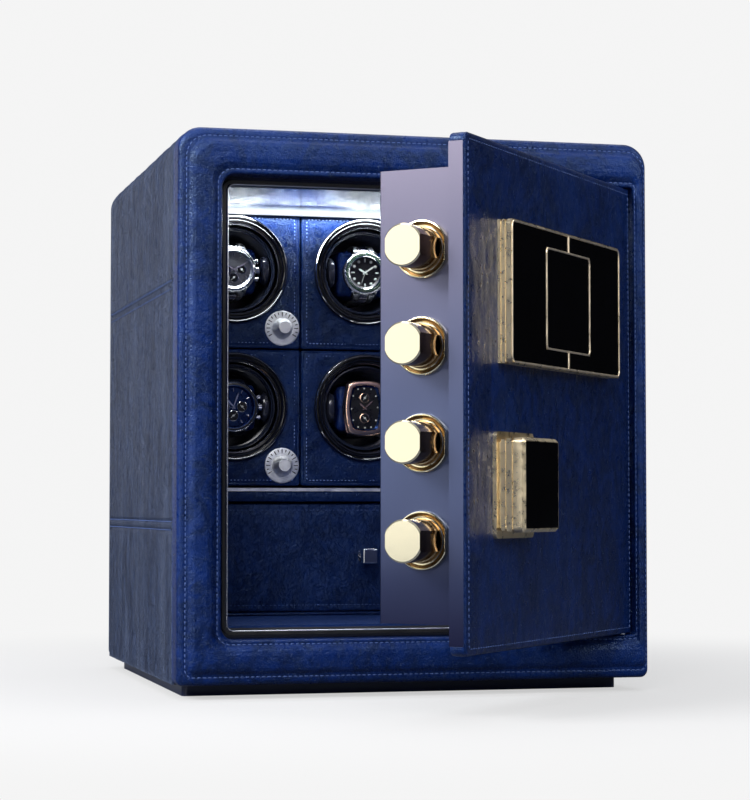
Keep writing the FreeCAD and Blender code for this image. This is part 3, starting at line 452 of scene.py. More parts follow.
def leather(name, dark, middle, light, grain=1.3, streak=(1, 1, 1), gloss=0.3, crease=0.12, glint_strength=0.35,
            wrinkles_and_shade=0.0):
    """Grained leather: pebbles, fine pores, mottled dye, pale painted glints along its veins, painted
    highlights on sharp edges and wrinkles with painted shade in their furrows.
    """
    s = Shader(name)
    mottle = s.noise(22, 6, 0.65, streak, 1.4)
    cloud = s.noise(90, 2, 0.5, streak)
    pebble = s.cells(grain, "SMOOTH_F1")
    crack = s.cells(grain * 2.6, "DISTANCE_TO_EDGE", streak)
    fold = s.noise(7, 6, 0.65, streak, 1.5)
    vein = s.noise(11, 7, 0.7, streak, 2.2)
    base = s.mix(s.span(mottle, 0.38, 0.64), dark, middle)
    base = s.mix(s.maths("MULTIPLY", s.span(cloud, 0.45, 0.75), 0.4), base, light)
    ridge = s.ridge(vein, 0.016)
    # Painted highlight: pale whitish-blue glints along the veins' ridges.
    painted_glint = s.maths("MULTIPLY", ridge, s.span(s.noise(3.2, 5, 0.7), 0.48, 0.66))
    pale = [2 * c + tint for c, tint in zip(light, GLINT_TINT)]
    base = s.mix(s.maths("MULTIPLY", painted_glint, glint_strength), base, pale)
    # Painted highlight: sharp outer edges are lightened towards the light colour.
    base = s.mix(s.maths("MULTIPLY", s.edges(0.51, 0.58), 0.5), base, light)
    if wrinkles_and_shade:
        bark = s.noise(5.5, 6, 0.62, streak, 2.6)
        # Painted shade: the wrinkles' furrows are darkened towards the dark colour, and also sunk by bump.
        furrow = s.ridge(bark, 0.03)
        base = s.mix(s.maths("MULTIPLY", furrow, wrinkles_and_shade), base, dark)
        s.bump(furrow, -0.5)
        s.bump(bark, 0.9)
    s.bump(fold, 4 * crease)
    s.bump(ridge, -1.2 * crease)
    s.bump(crack, crease)
    s.bump(pebble, -0.3)
    s.bump(s.noise(0.7, 3), 0.09)
    rough = s.span(s.noise(5, 4, 0.6, streak), 0.3, 0.7, gloss - 0.05, gloss + 0.12)
    return s.set(Base_Color=base, Roughness=rough, Specular_IOR_Level=0.5, Specular_Tint=(0.45, 0.66, 1.0, 1))


def metal(name, colour, rough=0.14, brushed=None, tarnish=0.12, wave=0.05):
    """Polished or brushed metal with faint smears and a slightly uneven gloss."""
    s = Shader(name)
    smear = s.noise(30, 4, 0.6)
    shade = [c * (1 - tarnish) for c in colour]
    base = s.mix(s.span(smear, 0.35, 0.7), colour, shade)
    if brushed:
        s.bump(s.noise(0.5, 3, 0.6, brushed), 0.012)
    s.bump(s.noise(14, 2), wave)
    spread = s.span(s.noise(6, 5, 0.7), 0.35, 0.75, rough * 0.75, rough * 1.5)
    return s.set(Base_Color=base, Metallic=1.0, Roughness=spread)


# Heights in metres between which the lacquer's painted shade at the foot, its painted reflection towards the
# top and its sheen run.
LACQUER_PAINTED_SHADE, LACQUER_PAINTED_REFLECTION, LACQUER_SHEEN = (0.03, 0.19), (0.20, 0.46), (0.03, 0.22)


def lacquer(name, low, middle, high, rough=0.2, coat=1.0, flake=0.0):
    """Sprayed gloss lacquer whose colour fades upwards from one colour, through a second, to a third: painted
    shade at the foot and a painted reflection towards the top.
    """
    s = Shader(name)
    height = s.height()
    base = s.mix(s.span(height, *LACQUER_PAINTED_REFLECTION), middle, high)
    base = s.mix(s.span(height, *LACQUER_PAINTED_SHADE), low, base)
    s.bump(s.noise(2.2, 2), 0.006)
    sheen = s.span(height, *LACQUER_SHEEN, 0.2 * coat, coat)
    return s.set(Base_Color=base, Roughness=rough, Coat_Weight=sheen, Coat_Roughness=0.08, Metallic=flake)


def bolt_metal(name, tip, side):
    """Gold plate with pale end faces and dark brown sides: the dark sides are a painted reflection of dark
    surroundings.
    """
    s = Shader(name)
    turned = s.tree.nodes.new("ShaderNodeVectorMath")
    turned.operation = "DOT_PRODUCT"
    s.link(s.tree.nodes.new("ShaderNodeTexCoord").outputs["Normal"], turned.inputs[0])
    turned.inputs[1].default_value = BOLT_AXIS
    # Painted reflection: faces turned along the bolt's axis get the pale colour, and the sides a dark brown.
    base = s.mix(s.span(s.maths("ABSOLUTE", turned.outputs["Value"]), 0.5, 0.8), side, tip)
    s.bump(s.noise(14, 2), 0.03)
    return s.set(Base_Color=base, Metallic=1.0, Roughness=0.16)


def plain_lacquer(name, colour, rough):
    """Lacquer of one colour from floor to top."""
    return lacquer(name, colour, colour, colour, rough)


def plastic(name, colour, rough=0.3, texture=0.01):
    """Moulded plastic or rubber with a fine spark-eroded texture."""
    s = Shader(name)
    base = s.mix(s.span(s.noise(18, 4), 0.3, 0.7), colour, [c * 0.7 + 0.004 for c in colour])
    s.bump(s.noise(0.4, 2), texture)
    spread = s.span(s.noise(9, 4), 0.3, 0.7, rough * 0.8, rough * 1.3)
    return s.set(Base_Color=base, Roughness=spread)


def glass_black(name):
    """Polished black glass with a faint smear."""
    s = Shader(name)
    rough = s.span(s.noise(24, 5), 0.35, 0.75, 0.03, 0.08)
    base = s.mix(s.noise(60), (0.0008, 0.0008, 0.001), (0.002, 0.002, 0.003))
    return s.set(Base_Color=base, Roughness=rough, Specular_IOR_Level=0.3)


# Scale of the lamp's bright patches, which come about 32 mm apart.
LAMP_WAVES = 1 / (16 * MM) / 6.28


def glowing(name, colour, strength):
    """A lamp's diffuser, a little brighter in evenly spaced patches."""
    s = Shader(name)
    wave = s.tree.nodes.new("ShaderNodeTexWave")
    s.link(s.place, wave.inputs["Vector"])
    wave.inputs["Scale"].default_value = LAMP_WAVES
    power = s.span(wave.outputs["Fac"], 0, 1, strength * 0.85, strength)
    return s.set(Base_Color=(0.9, 0.9, 0.9), Emission_Color=(*colour, 1), Emission_Strength=power)


def thread(name, colour):
    """Twisted waxed thread."""
    s = Shader(name)
    s.bump(s.cells(0.5), 0.08)
    base = s.mix(s.noise(3), colour, [c * 0.55 for c in colour])
    return s.set(Base_Color=base, Roughness=0.55)


def boards(name, dark, light):
    """Painted fibreboard."""
    s = Shader(name)
    s.bump(s.noise(1.0, 4), 0.05)
    return s.set(Base_Color=s.mix(s.noise(3, 5), dark, light), Roughness=0.75)


FRAME_LEATHER = leather("frame_leather", (0.0006, 0.006, 0.044), (0.0012, 0.013, 0.098), (0.004, 0.028, 0.17),
                        glint_strength=0.25, crease=0.08)
# Its greyer, paler colours are a painted sheen, standing in for the grazing light that falls on the sides,
# the top and the back.
SIDE_LEATHER_PAINTED_SHEEN = leather("side_leather", (0.006, 0.012, 0.042), (0.036, 0.056, 0.125), (0.10, 0.13, 0.22),
                       1.6, (1, 0.5, 2.0), 0.34, 0.2, 0.4, 0.85)
DOOR_LEATHER = leather("door_leather", (0.0006, 0.006, 0.040), (0.001, 0.011, 0.080), (0.003, 0.022, 0.13),
                       1.3, (1, 1, 1.5), 0.3, 0.05, 0.15)
PANEL_LEATHER = leather("panel_leather", (0.001, 0.006, 0.042), (0.002, 0.012, 0.08), (0.005, 0.026, 0.13),
                        1.2, glint_strength=0.25)
LINING_LEATHER = leather("lining_leather", (0.001, 0.005, 0.036), (0.002, 0.012, 0.080), (0.006, 0.026, 0.13),
                         1.1, gloss=0.42, glint_strength=0.5)
DRAWER_LEATHER = leather("drawer_leather", (0.002, 0.009, 0.055), (0.005, 0.020, 0.105), (0.024, 0.05, 0.17),
                         1.3, (1, 1, 1.5), 0.32, 0.25, 0.6)
CUSHION_LEATHER = leather("cushion_leather", (0.003, 0.011, 0.08), (0.007, 0.026, 0.17), (0.02, 0.06, 0.28),
                          1.1)
STRAP_LEATHER = leather("strap_leather", (0.001, 0.002, 0.006), (0.003, 0.005, 0.016), (0.01, 0.015, 0.035),
                        0.9, gloss=0.36)
THREAD = thread("blue_thread", (0.09, 0.16, 0.42))
# Dark navy at the foot fading to pale lavender at the top: painted shade and a painted reflection.
LACQUER = lacquer("blue_lacquer", (0.002, 0.002, 0.028), (0.06, 0.08, 0.17), (0.15, 0.135, 0.19),
                  0.3, 0.5, 0.7)
# Darker at the foot: painted shade, from the lacquer's fade.
PLINTH = lacquer("plinth_lacquer", (0.004, 0.010, 0.05), (0.008, 0.018, 0.075), (0.01, 0.02, 0.09), 0.3)
# Lighter towards the top: a painted reflection, from the lacquer's fade.
JAMB = lacquer("jamb_lacquer", (0.004, 0.006, 0.022), (0.004, 0.006, 0.022), (0.008, 0.012, 0.04), 0.2)
GOLD = metal("gold", (0.98, 0.76, 0.46), 0.2)
PALE_GOLD = metal("pale_gold", (0.96, 0.87, 0.60), 0.13)
CHROME = metal("polished_steel", (0.86, 0.87, 0.89), 0.08)
STEEL = metal("brushed_steel", (0.60, 0.61, 0.63), 0.3, (8, 1, 1))
ROSE = metal("rose_gold", (0.90, 0.60, 0.44), 0.18)
TRIM = metal("bright_trim", (0.92, 0.93, 1.0), 0.42)
BLACK_GLASS = glass_black("black_glass")
RING_BLACK = plain_lacquer("ring_black", (0.004, 0.004, 0.006), 0.12)
CUP_BLACK = plastic("cup_black", (0.016, 0.022, 0.045), 0.2)
PAD_BLACK = plain_lacquer("pad_gloss", (0.02, 0.022, 0.035), 0.16)
DARK_PLASTIC = plastic("dark_plastic", (0.01, 0.01, 0.012), 0.45)
RUBBER = plastic("seal_rubber", (0.004, 0.004, 0.005), 0.5)
SILVER = metal("dial_silver", (0.97, 0.98, 1.0), 0.5, (1, 1, 6), 0.0)
HANDLE_GOLD = metal("handle_gold", (1.0, 0.83, 0.54), 0.34, tarnish=0.0, wave=0.02)
# Pale gold ends, with sides painted dark brown as a painted reflection.
BOLT_GOLD = bolt_metal("bolt_gold", (1.0, 0.92, 0.66), (0.20, 0.11, 0.045))
SATIN = metal("satin_knob", (1.0, 1.0, 1.0), 0.42, tarnish=0.0)
# Near-black brown for the collars' sunk groove: painted shade.
GROOVE_PAINTED_SHADE = metal("groove_painted_shade", (0.10, 0.055, 0.02), 0.3)
MIRROR = metal("ceiling_mirror", (0.50, 0.58, 0.68), 0.2, tarnish=0.1, wave=0.004)
GOLD_LINE = metal("gold_line", (1.0, 0.84, 0.62), 0.36)
PANEL_THREAD = thread("panel_thread", (0.26, 0.40, 0.85))
PRINT = plastic("tick_black", (0.004, 0.004, 0.005), 0.5)
DIAL_GREY = metal("grey_dial", (0.30, 0.31, 0.33), 0.35)
DIAL_BLACK = plastic("black_dial", (0.004, 0.004, 0.006), 0.3)
DIAL_BLUE = metal("blue_dial", (0.02, 0.04, 0.12), 0.3)
GREEN = plastic("green_insert", (0.005, 0.05, 0.022), 0.15, 0.002)
LUME = plastic("lume_white", (0.82, 0.85, 0.80), 0.4, 0.002)
BOARD = boards("board", (0.01, 0.012, 0.02), (0.02, 0.022, 0.032))
CIRCUIT = boards("circuit_board", (0.01, 0.05, 0.02), (0.02, 0.09, 0.035))
LAMP = glowing("lamp_glow", (0.86, 0.95, 1.0), 1.3)


def dress(material, *nodes):
    """Give CAD nodes a procedural material in place of their plain one."""
    for name in nodes:
        mesh = frame["nodes"][name].data
        mesh.materials.clear()
        mesh.materials.append(material)


dress(BOARD, "cabinet_body")
dress(SIDE_LEATHER_PAINTED_SHEEN, "back_panel")
dress(PLINTH, "base_plinth")
dress(JAMB, "jamb_frame")
dress(LACQUER, "door_plate", "bolt_housing")
dress(CHROME, "strike_plate", "drawer_knob", "hinge_pins")
dress(TRIM, "shelf_trim")
dress(MIRROR, "ceiling_mirror")
dress(STEEL, "light_channel", "latch_plunger", "bolt_carriage", "lock_solenoid")
dress(LAMP, "lamp_strip")
dress(RUBBER, "door_seal")
dress(DARK_PLASTIC, "winder_barrels", "gear_motors", "power_inlet", "drawer_tray")
dress(CIRCUIT, "power_board", "lock_board")
dress(LINING_LEATHER, "interior_lining", "shelf", "drawer_deck")
dress(BOLT_GOLD, "locking_bolts")
dress(HANDLE_GOLD, "keypad_frame", "handle_block", "handle_plate")
dress(BLACK_GLASS, "keypad_glass", "keypad_screen", "handle_inlay")
dress(GOLD, "handle_spindle")
for cell in CELLS:
    dress(SATIN, f"speed_knob_{cell}")


# ---------------------------------------------------------------- the cabinet's leather

BORDERS = (7.0, 34.2)
EDGE_ROUND = 5
STILE = JAMB_LOW[0] + LIP_REBATE - SHELL_LOW[0]
FRAME_CORNERS = (6, 6, WRAP_RADIUS, WRAP_RADIUS)
OPENING_CORNERS = (12, 3, 3, 12)
# The padding's section: distance in from the frame's outer edge, and height proud of its front.
PAD_PROFILE = [(5.0, 0.0), (6.2, 0.1), (7.0, -0.25), (7.8, 0.1), (9.2, 0.3), (10.2, 1.0), (12.0, 2.6),
               (14.5, 3.6), (19.0, 4.0), (25.0, 4.0), (29.0, 3.3), (31.5, 1.8), (33.0, 0.5), (33.6, 0.1),
               (34.2, -0.25), (34.8, 0.1), (36.0, 0.15), (37.0, -0.15), (37.7, -0.9), (38.0, -2.2)]


def frame_rows():
    """The frame's section as (distance in from the outer edge, height proud of the front)."""
    rows = [(0.0, -FRAME_THICK), (0.0, -16.0), (0.0, -9.0)]
    for step in range(7):
        turn = step / 6 * math.pi / 2
        rows.append((EDGE_ROUND - EDGE_ROUND * math.cos(turn), EDGE_ROUND * math.sin(turn) - EDGE_ROUND))
    wanted = np.arange(5.4, 38.01, 0.55)
    known, heights = zip(*PAD_PROFILE)
    rows += list(zip(wanted, np.interp(wanted, known, heights)))
    rows += [(STILE, -8.0), (STILE, -14.0), (STILE, -20.0), (STILE - LIP_REBATE, -20.0),
             (STILE - LIP_REBATE, -FRAME_THICK)]
    return rows


def frame_outline(distance):
    """The outline at a distance in from the outer edge, blended towards the opening's outline."""
    share = distance / STILE
    counts, corner = (250, 280), 12
    outer = rounded(SHELL_LOW[0], SHELL_HIGH[0], SHELL_LOW[2], SHELL_HIGH[2], FRAME_CORNERS, counts, corner)
    inner = rounded(OPEN_LOW[0], OPEN_HIGH[0], OPEN_LOW[2], OPEN_HIGH[2], OPENING_CORNERS, counts, corner)
    width = np.linalg.norm(outer - inner, axis=1)
    return outer + (inner - outer) * share, np.clip(width / STILE, 0.3, 1)


def frame_leather():
    """The padded leather frame, with a stitched border along each edge of its padding."""
    build = Build()
    loops = []
    for distance, proud in frame_rows():
        outline, narrow = frame_outline(distance)
        padded = np.interp(distance, [8, 12, 30, 34], [0, 1, 1, 0])
        x, z = outline[:, 0], outline[:, 1]
        lift = proud * narrow if proud > 0 else proud
        if distance > 4 and proud > -3:
            lift = lift + padded * (0.5 * creases(x / 17, z / 17, 3) + 0.35 * noise(x / 11, z / 11, 9))
            lift = lift + 0.05 * noise(x / 2.5, z / 2.5, 4)
        loops.append(upright(outline, FRONT - lift))
    build.add(tube(loops, close=True), FRAME_LEATHER)
    build.make("frame_leather", "cabinet", "blue_leather", ("front_frame",))
    threads = Build()
    for distance in BORDERS:
        outline, _ = frame_outline(distance)
        threads.add(stitches(upright(outline, FRONT + 0.05), (0, -1, 0)), THREAD)
    threads.make("frame_stitching", "cabinet", "blue_leather")


# Heights of the folded seams on the sides, and how far from one its two rows of stitches are.
SEAMS = (146, 352)
SEAM_STITCH = 3.6


def wrap_path(step=2.6):
    """Points and outward normals up the left side, over the top and down the right side."""
    low, high = span("leather_wrap")
    radius = WRAP_RADIUS
    points, normals = [], []
    for z in np.arange(low[2], high[2] - radius, step):
        points.append((low[0], z))
        normals.append((-1, 0))
    for turn in np.linspace(math.pi, math.pi / 2, 13):
        points.append((low[0] + radius + radius * math.cos(turn), high[2] - radius + radius * math.sin(turn)))
        normals.append((math.cos(turn), math.sin(turn)))
    for x in np.arange(low[0] + radius + step, 0, step):
        points.append((x, high[2]))
        normals.append((0, 1))
    mirrored = [((-x, z), (-nx, nz)) for (x, z), (nx, nz) in zip(reversed(points), reversed(normals))]
    points += [p for p, _ in mirrored]
    normals += [n for _, n in mirrored]
    return np.array(points), np.array(normals)


def side_leather():
    """The leather over the sides and the top, with its long wrinkles and two folded seams on each side."""
    low, high = span("leather_wrap")
    flat, normals = wrap_path()
    depths = np.linspace(low[1], high[1], 170)
    along_path, depth = np.meshgrid(distances(flat), depths, indexing="ij")
    swell = 0.9 * creases(depth / 13 + 0.25 * noise(along_path / 30, depth / 20, 5), along_path / 46, 11)
    swell += 0.45 * creases(depth / 6 + 0.4 * noise(along_path / 12, depth / 9, 6), along_path / 19, 15, 2)
    swell += 0.3 * noise(depth / 6, along_path / 14, 21) + 0.14 * noise(depth / 3, along_path / 5, 22)
    edge = np.minimum(depth - low[1], high[1] - depth)
    swell = swell * np.clip(edge / 8, 0.05, 1) + 0.55
    height = flat[:, 1][:, None]
    on_side = (np.abs(normals[:, 0]) > 0.9)[:, None]
    for seam in SEAMS:
        away = np.abs(height - seam)
        fold = 1.3 * np.exp(-(away / 2.4) ** 2) - 1.5 * np.exp(-((away - 3.3) / 0.9) ** 2)
        swell = swell * np.where(on_side, np.clip((away - 2) / 8, 0.25, 1), 1) + np.where(on_side, fold, 0)
    swell = np.where(edge < 1.2, np.minimum(swell, 0.0) - 0.5, swell)

    def skin(lift):
        x, z = [flat[:, axis, None] + normals[:, axis, None] * lift for axis in (0, 1)]
        return np.stack([x, depth, z], 2)

    thickness = 1.9
    build = Build().add(sheet(skin(swell), skin(np.full_like(swell, -thickness))), SIDE_LEATHER_PAINTED_SHEEN)
    build.make("side_leather", "cabinet", "blue_leather", ("leather_wrap",))
    threads = Build()
    for side in (-1, 1):
        for seam in SEAMS:
            for height in (seam - SEAM_STITCH, seam + SEAM_STITCH):
                path = np.array([(side * (high[0] + 0.5), y, height) for y in (low[1] + 4, high[1] - 4)])
                threads.add(stitches(path, (side, 0, 0), 5.2, 3.2, 0.35, closed=False), THREAD)
    threads.make("side_stitching", "cabinet", "blue_leather")


def cushioned(left, right, low, high, front, back, rise, roll, texture, spacing=2.5, radius=0.0):
    """A soft upholstered face on a board: a grid whose edges roll back to the board behind it.
    Its face is proud by rise, and texture(x, z) adds folds. The left corners are rounded by radius."""

    def profile(start, end):
        rolled = roll * (1 - np.cos(np.linspace(0, math.pi / 2, 6)))
        drop = roll * (1 - np.sin(np.linspace(0, math.pi / 2, 6)))
        count = max(int((end - start - 2 * roll) / spacing), 2)
        middle = np.linspace(start + roll, end - roll, count)[1:-1]
        walls = np.array([back - front, (back - front) * 0.6])
        places = np.concatenate([[start] * 2, start + rolled, middle, end - rolled[::-1], [end] * 2])
        depth = np.concatenate([walls, drop, middle * 0, drop[::-1], walls[::-1]])
        return places, depth

    across, drop_across = profile(left, right)
    up, drop_up = profile(low, high)
    x, z = np.meshgrid(across, up, indexing="ij")
    drop = np.maximum(drop_across[:, None], drop_up[None, :])
    if radius:
        for corner_x, corner_z in ((left + radius, low + radius), (left + radius, high - radius)):
            outside_x = x < corner_x
            outside_z = (z < corner_z) if corner_z < (low + high) / 2 else (z > corner_z)
            reach = np.hypot(x - corner_x, z - corner_z)
            pull = np.where(outside_x & outside_z & (reach > radius), radius / np.maximum(reach, 1e-6), 1)
            x, z = corner_x + (x - corner_x) * pull, corner_z + (z - corner_z) * pull
    edge = border_distance(x, z, left, right, low, high)
    inside = np.clip(edge / 12, 0, 1)
    lift = rise * np.sin(inside * math.pi / 2) + texture(x, z) * np.clip(edge / 5, 0, 1)
    lift = np.where(drop > 0, 0, lift)
    y = front + drop - lift
    back_x = np.clip(x, left + 0.02, right - 0.02)
    return sheet(np.stack([x, y, z], 2), np.stack([back_x, np.full_like(x, back), z], 2))


def back_leather():
    """A padded leather field on the back, above the power socket, with its stitched edge."""
    low, high = span("back_panel")
    left, right, bottom, top = low[0] + 16, high[0] - 16, low[2] + 50, high[2] - 18
    base = high[1]

    def folds(x, z):
        return 0.9 * creases(x / 16, z / 40, 61) + 0.3 * noise(x / 8, z / 14, 62)

    thickness = 3.0
    points, faces = cushioned(left, right, bottom, top, 0, thickness, 1.2, 2.2, folds)
    points[:, 1] = base + thickness - 0.1 - points[:, 1]
    Build().add((points, faces), SIDE_LEATHER_PAINTED_SHEEN).make("back_leather", "cabinet", "blue_leather")
    outline = rounded(left - 5, right + 5, bottom - 5, top + 5, 4, (40, 40), 4)
    Build().add(stitches(upright(outline, base + 0.1), (0, 1, 0)), THREAD).make(
        "back_stitching", "cabinet", "blue_leather")


# ---------------------------------------------------------------- the door's leather

# In the door's own frame: X from the hinge line and Y towards its inside.
DOOR_FREE, DOOR_HINGE_EDGE, DOOR_FACE, PADDING_BACK, BAND = -357.0, 2.0, -7.0, -5.25, 7.0
DOOR_LOW, DOOR_HIGH = span("door_leather")[0][2], span("door_leather")[1][2]


def door_leather():
    """The padded door face. It wraps over the top and the bottom as thick bands."""

    def folds(x, z):
        streaks = 0.55 * creases(x / 9 + 0.3 * noise(x / 30, z / 30, 8), z / 60, 71)
        return streaks + 0.25 * noise(x / 5, z / 22, 72) + 0.06 * noise(x / 2.5, z / 6, 73)

    face = cushioned(DOOR_FREE, DOOR_HINGE_EDGE, DOOR_LOW, DOOR_HIGH, DOOR_FACE, PADDING_BACK,
                     0.9, 1.7, folds, 2.0, 6.0)
    build = Build().add(face, DOOR_LEATHER, on_door)
    for edge, corners in ((DOOR_LOW, (5.6, 0.3, 0.3, 0.3)), (DOOR_HIGH, (0.3, 0.3, 0.3, 5.6))):
        at_foot = edge == DOOR_LOW
        loops = []
        for inset, depth in ((0.25, -5.3), (0.0, -3.0), (0.0, 0.0), (0.0, 4.6), (0.5, 5.9), (1.4, 6.4)):
            low = edge + inset if at_foot else edge - BAND + 0.05
            high = edge + BAND - 0.05 if at_foot else edge - inset
            outline = rounded(DOOR_FREE + inset, DOOR_HINGE_EDGE - inset, low, high, corners, (120, 3), 6)
            ripple = 0.12 * noise(outline[:, 0] / 6, outline[:, 1] / 6 + depth, 75)
            outline[:, 1] += np.where(np.abs(outline[:, 1] - edge) < 1, ripple - 0.12, 0)
            loops.append(upright(outline, depth))
        build.add(tube(loops), DOOR_LEATHER, on_door)
    build.make("door_leather_cover", "door", "blue_leather", ("door_leather",))
    outline = rounded(DOOR_FREE + 5, DOOR_HINGE_EDGE - 4, DOOR_LOW + 5, DOOR_HIGH - 5, (4, 2, 2, 4),
                      (120, 120), 6)
    sewn = stitches(upright(outline, DOOR_FACE - 0.35), (0, -1, 0))
    Build().add(sewn, THREAD, on_door).make("door_stitching", "door", "blue_leather")


# ---------------------------------------------------------------- bright lines on the door and the jamb

KEYPAD_LOW, KEYPAD_HIGH = span("keypad_frame")[0][2], span("keypad_frame")[1][2]
KEYPAD_SIDE, KEYPAD_HALF, KEYPAD_FACE = -177.0, 120.0, -19.3
SCREEN_HALF = (48.5, 41.0)


def keypad_lines():
    """Raised gold lines round the keypad's panes and its screen."""
    middle = np.array([KEYPAD_SIDE, KEYPAD_FACE - 0.1, (KEYPAD_LOW + KEYPAD_HIGH) / 2])
    half_tall = (KEYPAD_HIGH - KEYPAD_LOW) / 2
    rim_inset, screen_inset = 1.5, 0.8
    build = Build()
    rim = upright(centred_outline(KEYPAD_HALF - rim_inset, half_tall - rim_inset, 5), 0.0) + middle
    build.add(bead(rim, 0.75), GOLD_LINE, on_door)
    ring = centred_outline(SCREEN_HALF[0] - screen_inset, SCREEN_HALF[1] - screen_inset, 4)
    build.add(bead(upright(ring, 0.0) + middle, 0.85), GOLD_LINE, on_door)
    reach = (half_tall - rim_inset - SCREEN_HALF[1]) / 2
    upright_axes, halves = ((0, 0, 1), (1, 0, 0), (0, 1, 0)), (reach + 0.2, 0.42, 0.7)
    for end in (-1, 1):
        for side in (-1, 1):
            spot = middle + np.array([side * 0.75, 0, end * (SCREEN_HALF[1] + reach - 0.4)])
            build.add(brick(spot, upright_axes, halves), GOLD_LINE, on_door)
    build.make("keypad_lines", "door", "gold")


BOLTS = 4
COLLAR_RADIUS, COLLAR_FACE, BOLT_DEPTH, INNER_LIP = 22.5, -346.5, 34.5, 18.6
# Closed sections of a collar's rings: radius, and distance back from the collar's face. Beyond the
# inner lip, both sides of a ring are flat.
COLLAR_RINGS = (
    (((16.4, 0), (17.0, -0.25), (18.1, -0.25), (18.6, 0.3), (18.6, 4.9), (16.4, 4.9)), PALE_GOLD),
    # The groove's dark colour is painted shade.
    (((18.6, 2.0), (20.9, 1.6), (20.9, 4.9), (18.6, 4.9)), GROOVE_PAINTED_SHADE),
    (((20.9, 0.5), (21.3, 0.1), (22.0, 0.2), (22.5, 0.9), (22.5, 4.9), (20.9, 4.9)), PALE_GOLD),
)


def collar_rings():
    """The bolts' guide rings: a round inner lip, a groove coloured dark as painted shade and an outer lip
    with two flats.
    """
    low, high = span("bolt_collars")
    step = (high[2] - low[2] - 2 * COLLAR_RADIUS) / (BOLTS - 1)
    flat_share = (COLLAR_RADIUS - 2) / COLLAR_RADIUS
    build = Build()
    for number in range(BOLTS):
        height = low[2] + COLLAR_RADIUS + step * number
        for section, material in COLLAR_RINGS:
            loops = []
            for reach, depth in section:
                across, up = ring_points((0, 0), reach, 96).T
                if reach > INNER_LIP:
                    across = np.clip(across, -reach * flat_share, reach * flat_share)
                side = np.full(len(up), COLLAR_FACE + depth)
                loops.append(np.stack([side, BOLT_DEPTH + across, height + up], 1))
            build.add(tube(loops, close=True), material, on_door)
    build.make("collar_rings", "door", "gold", ("bolt_collars",))


def jamb_line():
    """A bright bead along the inner edge of the door jamb, standing in for the highlight on the lacquered
    lip's rounded edge: a painted highlight.
    """
    low, _ = span("interior_lining")
    inset_side, inset_rise = 8.5, 6.5
    outline = rounded(OPEN_LOW[0] + inset_side, OPEN_HIGH[0] - inset_side, OPEN_LOW[2] + inset_rise,
                      OPEN_HIGH[2] - inset_rise, 6, (60, 60), 6)
    path = upright(outline, low[1] - 3.6)
    Build().add(bead(path, 0.55), TRIM).make("jamb_line", "cabinet", "blue_lacquer")


# ---------------------------------------------------------------- the winders

PANELS_LOW, PANELS_HIGH = span("winder_panels")
PANEL_FRONT = PANELS_LOW[1]
PANEL_GAP = 1.6
PANEL_HALF = ((PANELS_HIGH[0] - PANELS_LOW[0] - 2 * PANEL_GAP) / 6,
              (PANELS_HIGH[2] - PANELS_LOW[2] - PANEL_GAP) / 4)
PANEL_HOLE = 46.2
# The radii that the rings' and dials' sections below are drawn for.
RING_RADIUS, DIAL_RADIUS = 49.4, 16.5
# A panel's section: share of the way from its hole to its border, and depth behind its front.
PANEL_SECTION = [(0.0, 9.9), (0.0, 2.0), (0.02, 0.3), (0.1, -0.5), (0.3, -1.0), (0.6, -1.2),
                 (0.82, -1.1), (0.88, -0.8), (0.91, -0.3), (0.935, -0.7), (0.965, -0.7), (0.985, 0.0),
                 (1.0, 1.2), (1.0, 9.9)]


def middle_of(node):
    """A turned node's axis, where it meets the panels' front plane."""
    low, high = span(node)
    return np.array([(low[0] + high[0]) / 2, PANEL_FRONT, (low[2] + high[2]) / 2])


def cell_centre(cell):
    """The middle of a winder's panel on the panels' front plane."""
    row = ("bottom", "top").index(cell.split("_")[0])
    up = PANELS_LOW[2] + PANEL_HALF[1] + row * (2 * PANEL_HALF[1] + PANEL_GAP)
    return np.array([ring_centre(cell)[0], PANEL_FRONT, up])


def ring_centre(cell):
    return middle_of(f"winder_cup_{cell}")


def dial_centre(cell):
    return middle_of(f"speed_knob_{cell}")


RING_LIFT = (ring_centre("top_left") - cell_centre("top_left"))[2]
RING_GROWTH = span("bezel_rings")[1][0] - ring_centre("top_right")[0] - RING_RADIUS
DIAL_GROWTH = span("speed_dials")[1][0] - dial_centre("top_right")[0] - DIAL_RADIUS


